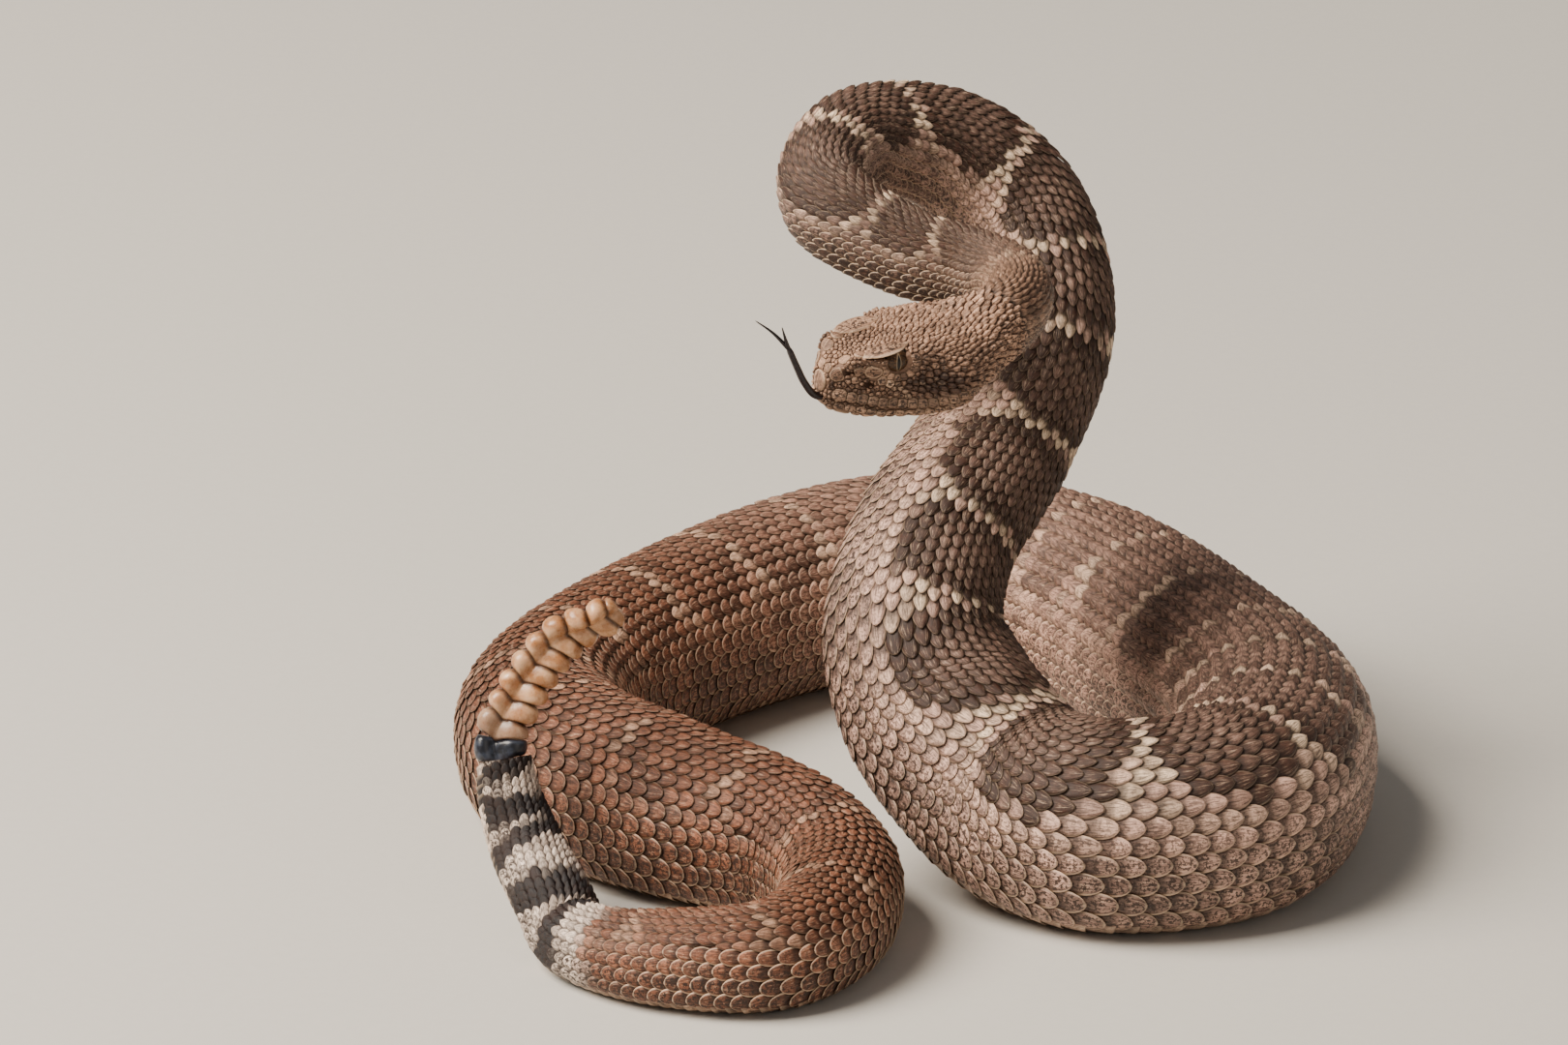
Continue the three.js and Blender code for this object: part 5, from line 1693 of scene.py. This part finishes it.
def cap_rings(profile, first, length, girth):
    """Rings of one cap that starts at a distance along the rattle."""
    angles = np.linspace(0, 2 * math.pi, CAP_SIDES, endpoint=False)
    off = (math.pi - np.abs(math.pi - angles) - GROOVE_AT) / GROOVE_WIDE
    in_groove = np.exp(-np.abs(off) ** 1.3)
    side = power(np.sin(angles), RATTLE_SQUARE[0]) * (RATTLE_THICK - GROOVE_DEEP * in_groove)
    rise = RATTLE_HEIGHT * power(np.cos(angles), RATTLE_SQUARE[1])
    rings = []
    for share, size in profile:
        place = first + share * length
        at = rattle_point(place)
        ahead = unit(rattle_point(place + 0.5) - rattle_point(max(place - 0.5, 0)))
        back = unit(BACK[0, 1:] - ahead * (BACK[0, 1:] @ ahead))
        left = np.cross(ahead, back)
        scale = size * girth
        drag = GROOVE_DRAG * in_groove
        ring = at - left * scale * side[:, None] + back * scale * rise[:, None]
        rings.append(ring - ahead * drag[:, None])
    return np.array(rings)


def horn_piece(name, caps):
    """Closed lofts joined in one piece, with the share along each cap, a chance and its number."""
    points, faces, notes, maps = [], [], [], []
    total = 0
    for k, (profile, first, length, girth, number) in enumerate(caps):
        solid = closed_loft(cap_rings(profile, first, length, girth))
        cap_faces = loft_faces(len(profile), CAP_SIDES)
        share = np.concatenate([np.repeat(profile[:, 0], CAP_SIDES), [profile[0, 0], profile[-1, 0]]])
        luck = random.random()
        notes.append(np.stack([share, np.full(len(share), luck), np.full(len(share), number)], axis=-1))
        maps.append((loft_map(cap_faces, len(profile), CAP_SIDES) + [0, k]) / [1, len(caps)])
        points.append(solid)
        faces.append(cap_faces + total)
        total += len(solid)
    piece = mesh_object(name, np.concatenate(points), np.concatenate(faces))
    add_numbers(piece, cap=np.concatenate(notes))
    add_bake_map(piece, np.concatenate(maps))
    return piece


caps = [
    (CAP_PROFILE, BLACK_LENGTH + k * CAP_PITCH, CAP_PITCH, 1 + (LAST_CAP - 1) * k / (CAPS - 1), k / CAPS)
    for k in range(CAPS)
]
caps.append((TIP_PROFILE, BLACK_LENGTH + CAPS * CAP_PITCH, CAP_PITCH, LAST_CAP, 1.0))
horn_caps = horn_piece("rattle_caps", caps)
black_cap = horn_piece("black_cap", [(BLACK_PROFILE, 0.0, BLACK_LENGTH - BLACK_GAP, 1.0, 0.0)])
print("rattle faces:", len(horn_caps.data.polygons), "black cap:", len(black_cap.data.polygons))

# %% Horn
HORN = "#ab7448"
HORN_LIGHT = "#dcae86"
# dark brown for scuffs, and for the painted shade where the caps meet
HORN_SCUFF_AND_SHADE = "#3c2114"
HORN_GREY = "#7d6c60"  # the newest cap is still grey
BLACK_HORN, BLACK_SHEEN = "#16181f", "#343a47"
CLOUD_SIZE, BLACK_CLOUD_SIZE, SCUFF_SIZE = 4, 2, 0.6  # millimetres
HORN_IOR = 1.54


def horn_material():
    """Dry tail horn, like a thick fingernail: caramel, cloudy, waxy, with painted shade where caps meet.
    """
    material, add = new_material("tail_horn")
    cap = add("Attribute", output="Vector", attribute_name="cap")
    share, luck, number = add("SeparateXYZ", (cap,)).node.outputs
    place = add("TexCoord", output="Object")
    cloud, scuffs = (
        add("TexNoise", {"Vector": place, "Scale": 1 / (size * MM), "Detail": detail, "Roughness": 0.6})
        for size, detail in ((CLOUD_SIZE, 3), (SCUFF_SIZE, 4))
    )
    cloudy = add("MapRange", (cloud, 0.35, 0.65, 0, 1), **SMOOTH)
    tint = add("MapRange", (luck, 0, 1, 0.86, 1.08), **SMOOTH)
    color = tinted(add, painted(add, HORN, (cloudy, HORN_LIGHT)), tint)
    newest = add("MapRange", (number, 0.2, 0.0, 0, 0.6), **SMOOTH)
    # painted shade near both ends of each cap, in the grooves where the caps meet
    near_end = add("MapRange", (share, 0.2, 0.02, 0, 1), **SMOOTH)
    far_end = add("MapRange", (share, 0.8, 0.98, 0, 1), **SMOOTH)
    painted_seam_shade = add("Math", (near_end, far_end), operation="MAXIMUM")
    painted_seam_shade = add("Math", (painted_seam_shade, 0.85), **MULTIPLY)
    scuffed = add("MapRange", (scuffs, 0.6, 0.75, 0, 0.3), **SMOOTH)
    color = painted(add, color, (newest, HORN_GREY), (painted_seam_shade, HORN_SCUFF_AND_SHADE), (scuffed, HORN_SCUFF_AND_SHADE))
    relief = add("Bump", {"Strength": 0.25, "Distance": 0.2 * MM, "Height": cloud})
    dull = add("MapRange", (scuffs, 0.3, 0.7, 0.24, 0.4), **SMOOTH)
    surface = add(
        "BsdfPrincipled",
        {"Base Color": color, "Roughness": dull, "IOR": HORN_IOR, "Subsurface Weight": 0.25,
         "Subsurface Scale": 2 * MM, "Subsurface Radius": (1.0, 0.5, 0.25), "Normal": relief},
    )
    add("OutputMaterial", (surface,))
    return material


def black_horn_material():
    """The newest cap, still soft and blue-black, which shines more than the dry ones."""
    material, add = new_material("black_tail_horn")
    place = add("TexCoord", output="Object")
    cloud = add(
        "TexNoise",
        {"Vector": place, "Scale": 1 / (BLACK_CLOUD_SIZE * MM), "Detail": 4, "Roughness": 0.6},
    )
    cloudy = add("MapRange", (cloud, 0.4, 0.7, 0, 1), **SMOOTH)
    relief = add("Bump", {"Strength": 0.3, "Distance": 0.2 * MM, "Height": cloud})
    color = painted(add, BLACK_HORN, (cloudy, BLACK_SHEEN))
    surface = add(
        "BsdfPrincipled",
        {"Base Color": color, "Roughness": 0.3, "IOR": HORN_IOR, "Normal": relief},
    )
    add("OutputMaterial", (surface,))
    return material


horn_caps.data.materials.append(horn_material())
black_cap.data.materials.append(black_horn_material())
print("materials:", [material.name for material in bpy.data.materials if material.users])

# %% [markdown]
# ## The skin's own markings
# The skin shows in the grooves between the scales, so it carries the same numbers as they do, read at
# its own corners.

# %% Mark the skin
skin_place = np.repeat(np.minimum(skin_rows, NAPE_ROW - 1.0), AROUND)
skin_around = np.tile(np.linspace(-1, 1, AROUND, endpoint=False), len(skin_rows))
skin_tone, skin_extra = tone_numbers(skin_place, skin_around, np.full(len(skin_place), 0.5))
head_share = smoothstep(*NAPE_FADE, skin_place)
skin_tone = skin_tone * (1 - 0.7 * head_share[:, None])
skin_chance = np.stack([np.full(len(skin_place), 0.5), 0 * head_share, head_share], axis=-1)
end_rows = np.zeros((2, 3))
skin_tone, skin_extra, skin_chance = (
    np.concatenate([values, end_rows]) for values in (skin_tone, skin_extra, skin_chance)
)
add_numbers(skin, tone=skin_tone, extra=skin_extra, chance=skin_chance)
skin.data.materials.append(soft_skin)
print("skin marked:", len(skin_place))

# %% [markdown]
# ## Floor, light and the table of pieces
# The model stands on a plain pale floor in soft studio light, with a warm key from the upper left as in
# the photograph. Every piece is told which body it belongs to, and the solids that it stands for are
# hidden.

# %% Floor and studio light
FLOOR_GREY, FLOOR_GRAIN = "#c9c6c0", "#a9a49c"
FLOOR_UNDER = 0.2 * MM  # under the model, so that the two don't share a face
KEY_AT, KEY_WATTS, KEY_SIZE, KEY_COLOR = (-1.5, -0.45, 1.9), 160, 1.5, (1.0, 0.9, 0.78)
FILL_AT, FILL_WATTS, FILL_SIZE, FILL_COLOR = (1.2, -1.9, 1.0), 5, 1.4, (1.0, 0.9, 0.8)
SKY_STRENGTH, SKY_COLOR = 0.2, (1.0, 0.95, 0.9, 1)


def floor_material():
    """Matt studio card: pale, even, with a grain too fine to catch the eye."""
    material, add = new_material("studio_card")
    place = add("TexCoord", output="Object")
    grain = add("TexNoise", {"Vector": place, "Scale": 1 / (3 * MM), "Detail": 3, "Roughness": 0.6})
    grained = add("MapRange", (grain, 0.3, 0.7, 0, 0.06), **SMOOTH)
    color = painted(add, FLOOR_GREY, (grained, FLOOR_GRAIN))
    surface = add("BsdfPrincipled", {"Base Color": color, "Roughness": 0.9})
    add("OutputMaterial", (surface,))
    return material


def add_light(name, at, watts, size, color):
    bpy.ops.object.select_all(action="DESELECT")
    bpy.ops.object.light_add(type="AREA", location=at)
    light = bpy.context.object
    light.name = name
    light.data.energy = watts
    light.data.size = size
    light.data.color = color
    light.rotation_euler = (-Vector(at)).to_track_quat("-Z", "Y").to_euler()


bpy.ops.object.select_all(action="DESELECT")
bpy.ops.mesh.primitive_plane_add(size=6, location=(0, 0, -FLOOR_UNDER))
floor = bpy.context.object
floor.name = "floor"
floor.data.materials.append(floor_material())
add_light("key_light", KEY_AT, KEY_WATTS, KEY_SIZE, KEY_COLOR)
add_light("fill_light", FILL_AT, FILL_WATTS, FILL_SIZE, FILL_COLOR)
world = bpy.data.worlds.new("studio")
bpy.context.scene.world = world
world.use_nodes = True
sky = world.node_tree.nodes["Background"]
sky.inputs[0].default_value = SKY_COLOR
sky.inputs[1].default_value = SKY_STRENGTH

# %% Which piece stands for which solids
flesh = [name for name, end in BODY_LENGTHS] + ["head", "lower_jaw"]
table = [(skin, "body_skin", flesh), (forked_tongue, "tongue", ["tongue"])]
table += [(piece, "tail_skin" if piece.name.startswith("tail") else "body_skin", []) for piece in coat]
table += [(piece, "head_skin", []) for piece in head_plates + brows]
table += [(eyes[0], "eye", ["eye_left"]), (eyes[1], "eye", ["eye_right"])]
table += [(horn_caps, "rattle_horn", ["rattle"]), (black_cap, "black_horn", ["rattle_base"])]
for piece, slot, nodes in table:
    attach(piece, "root")
    if nodes:
        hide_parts(*nodes)
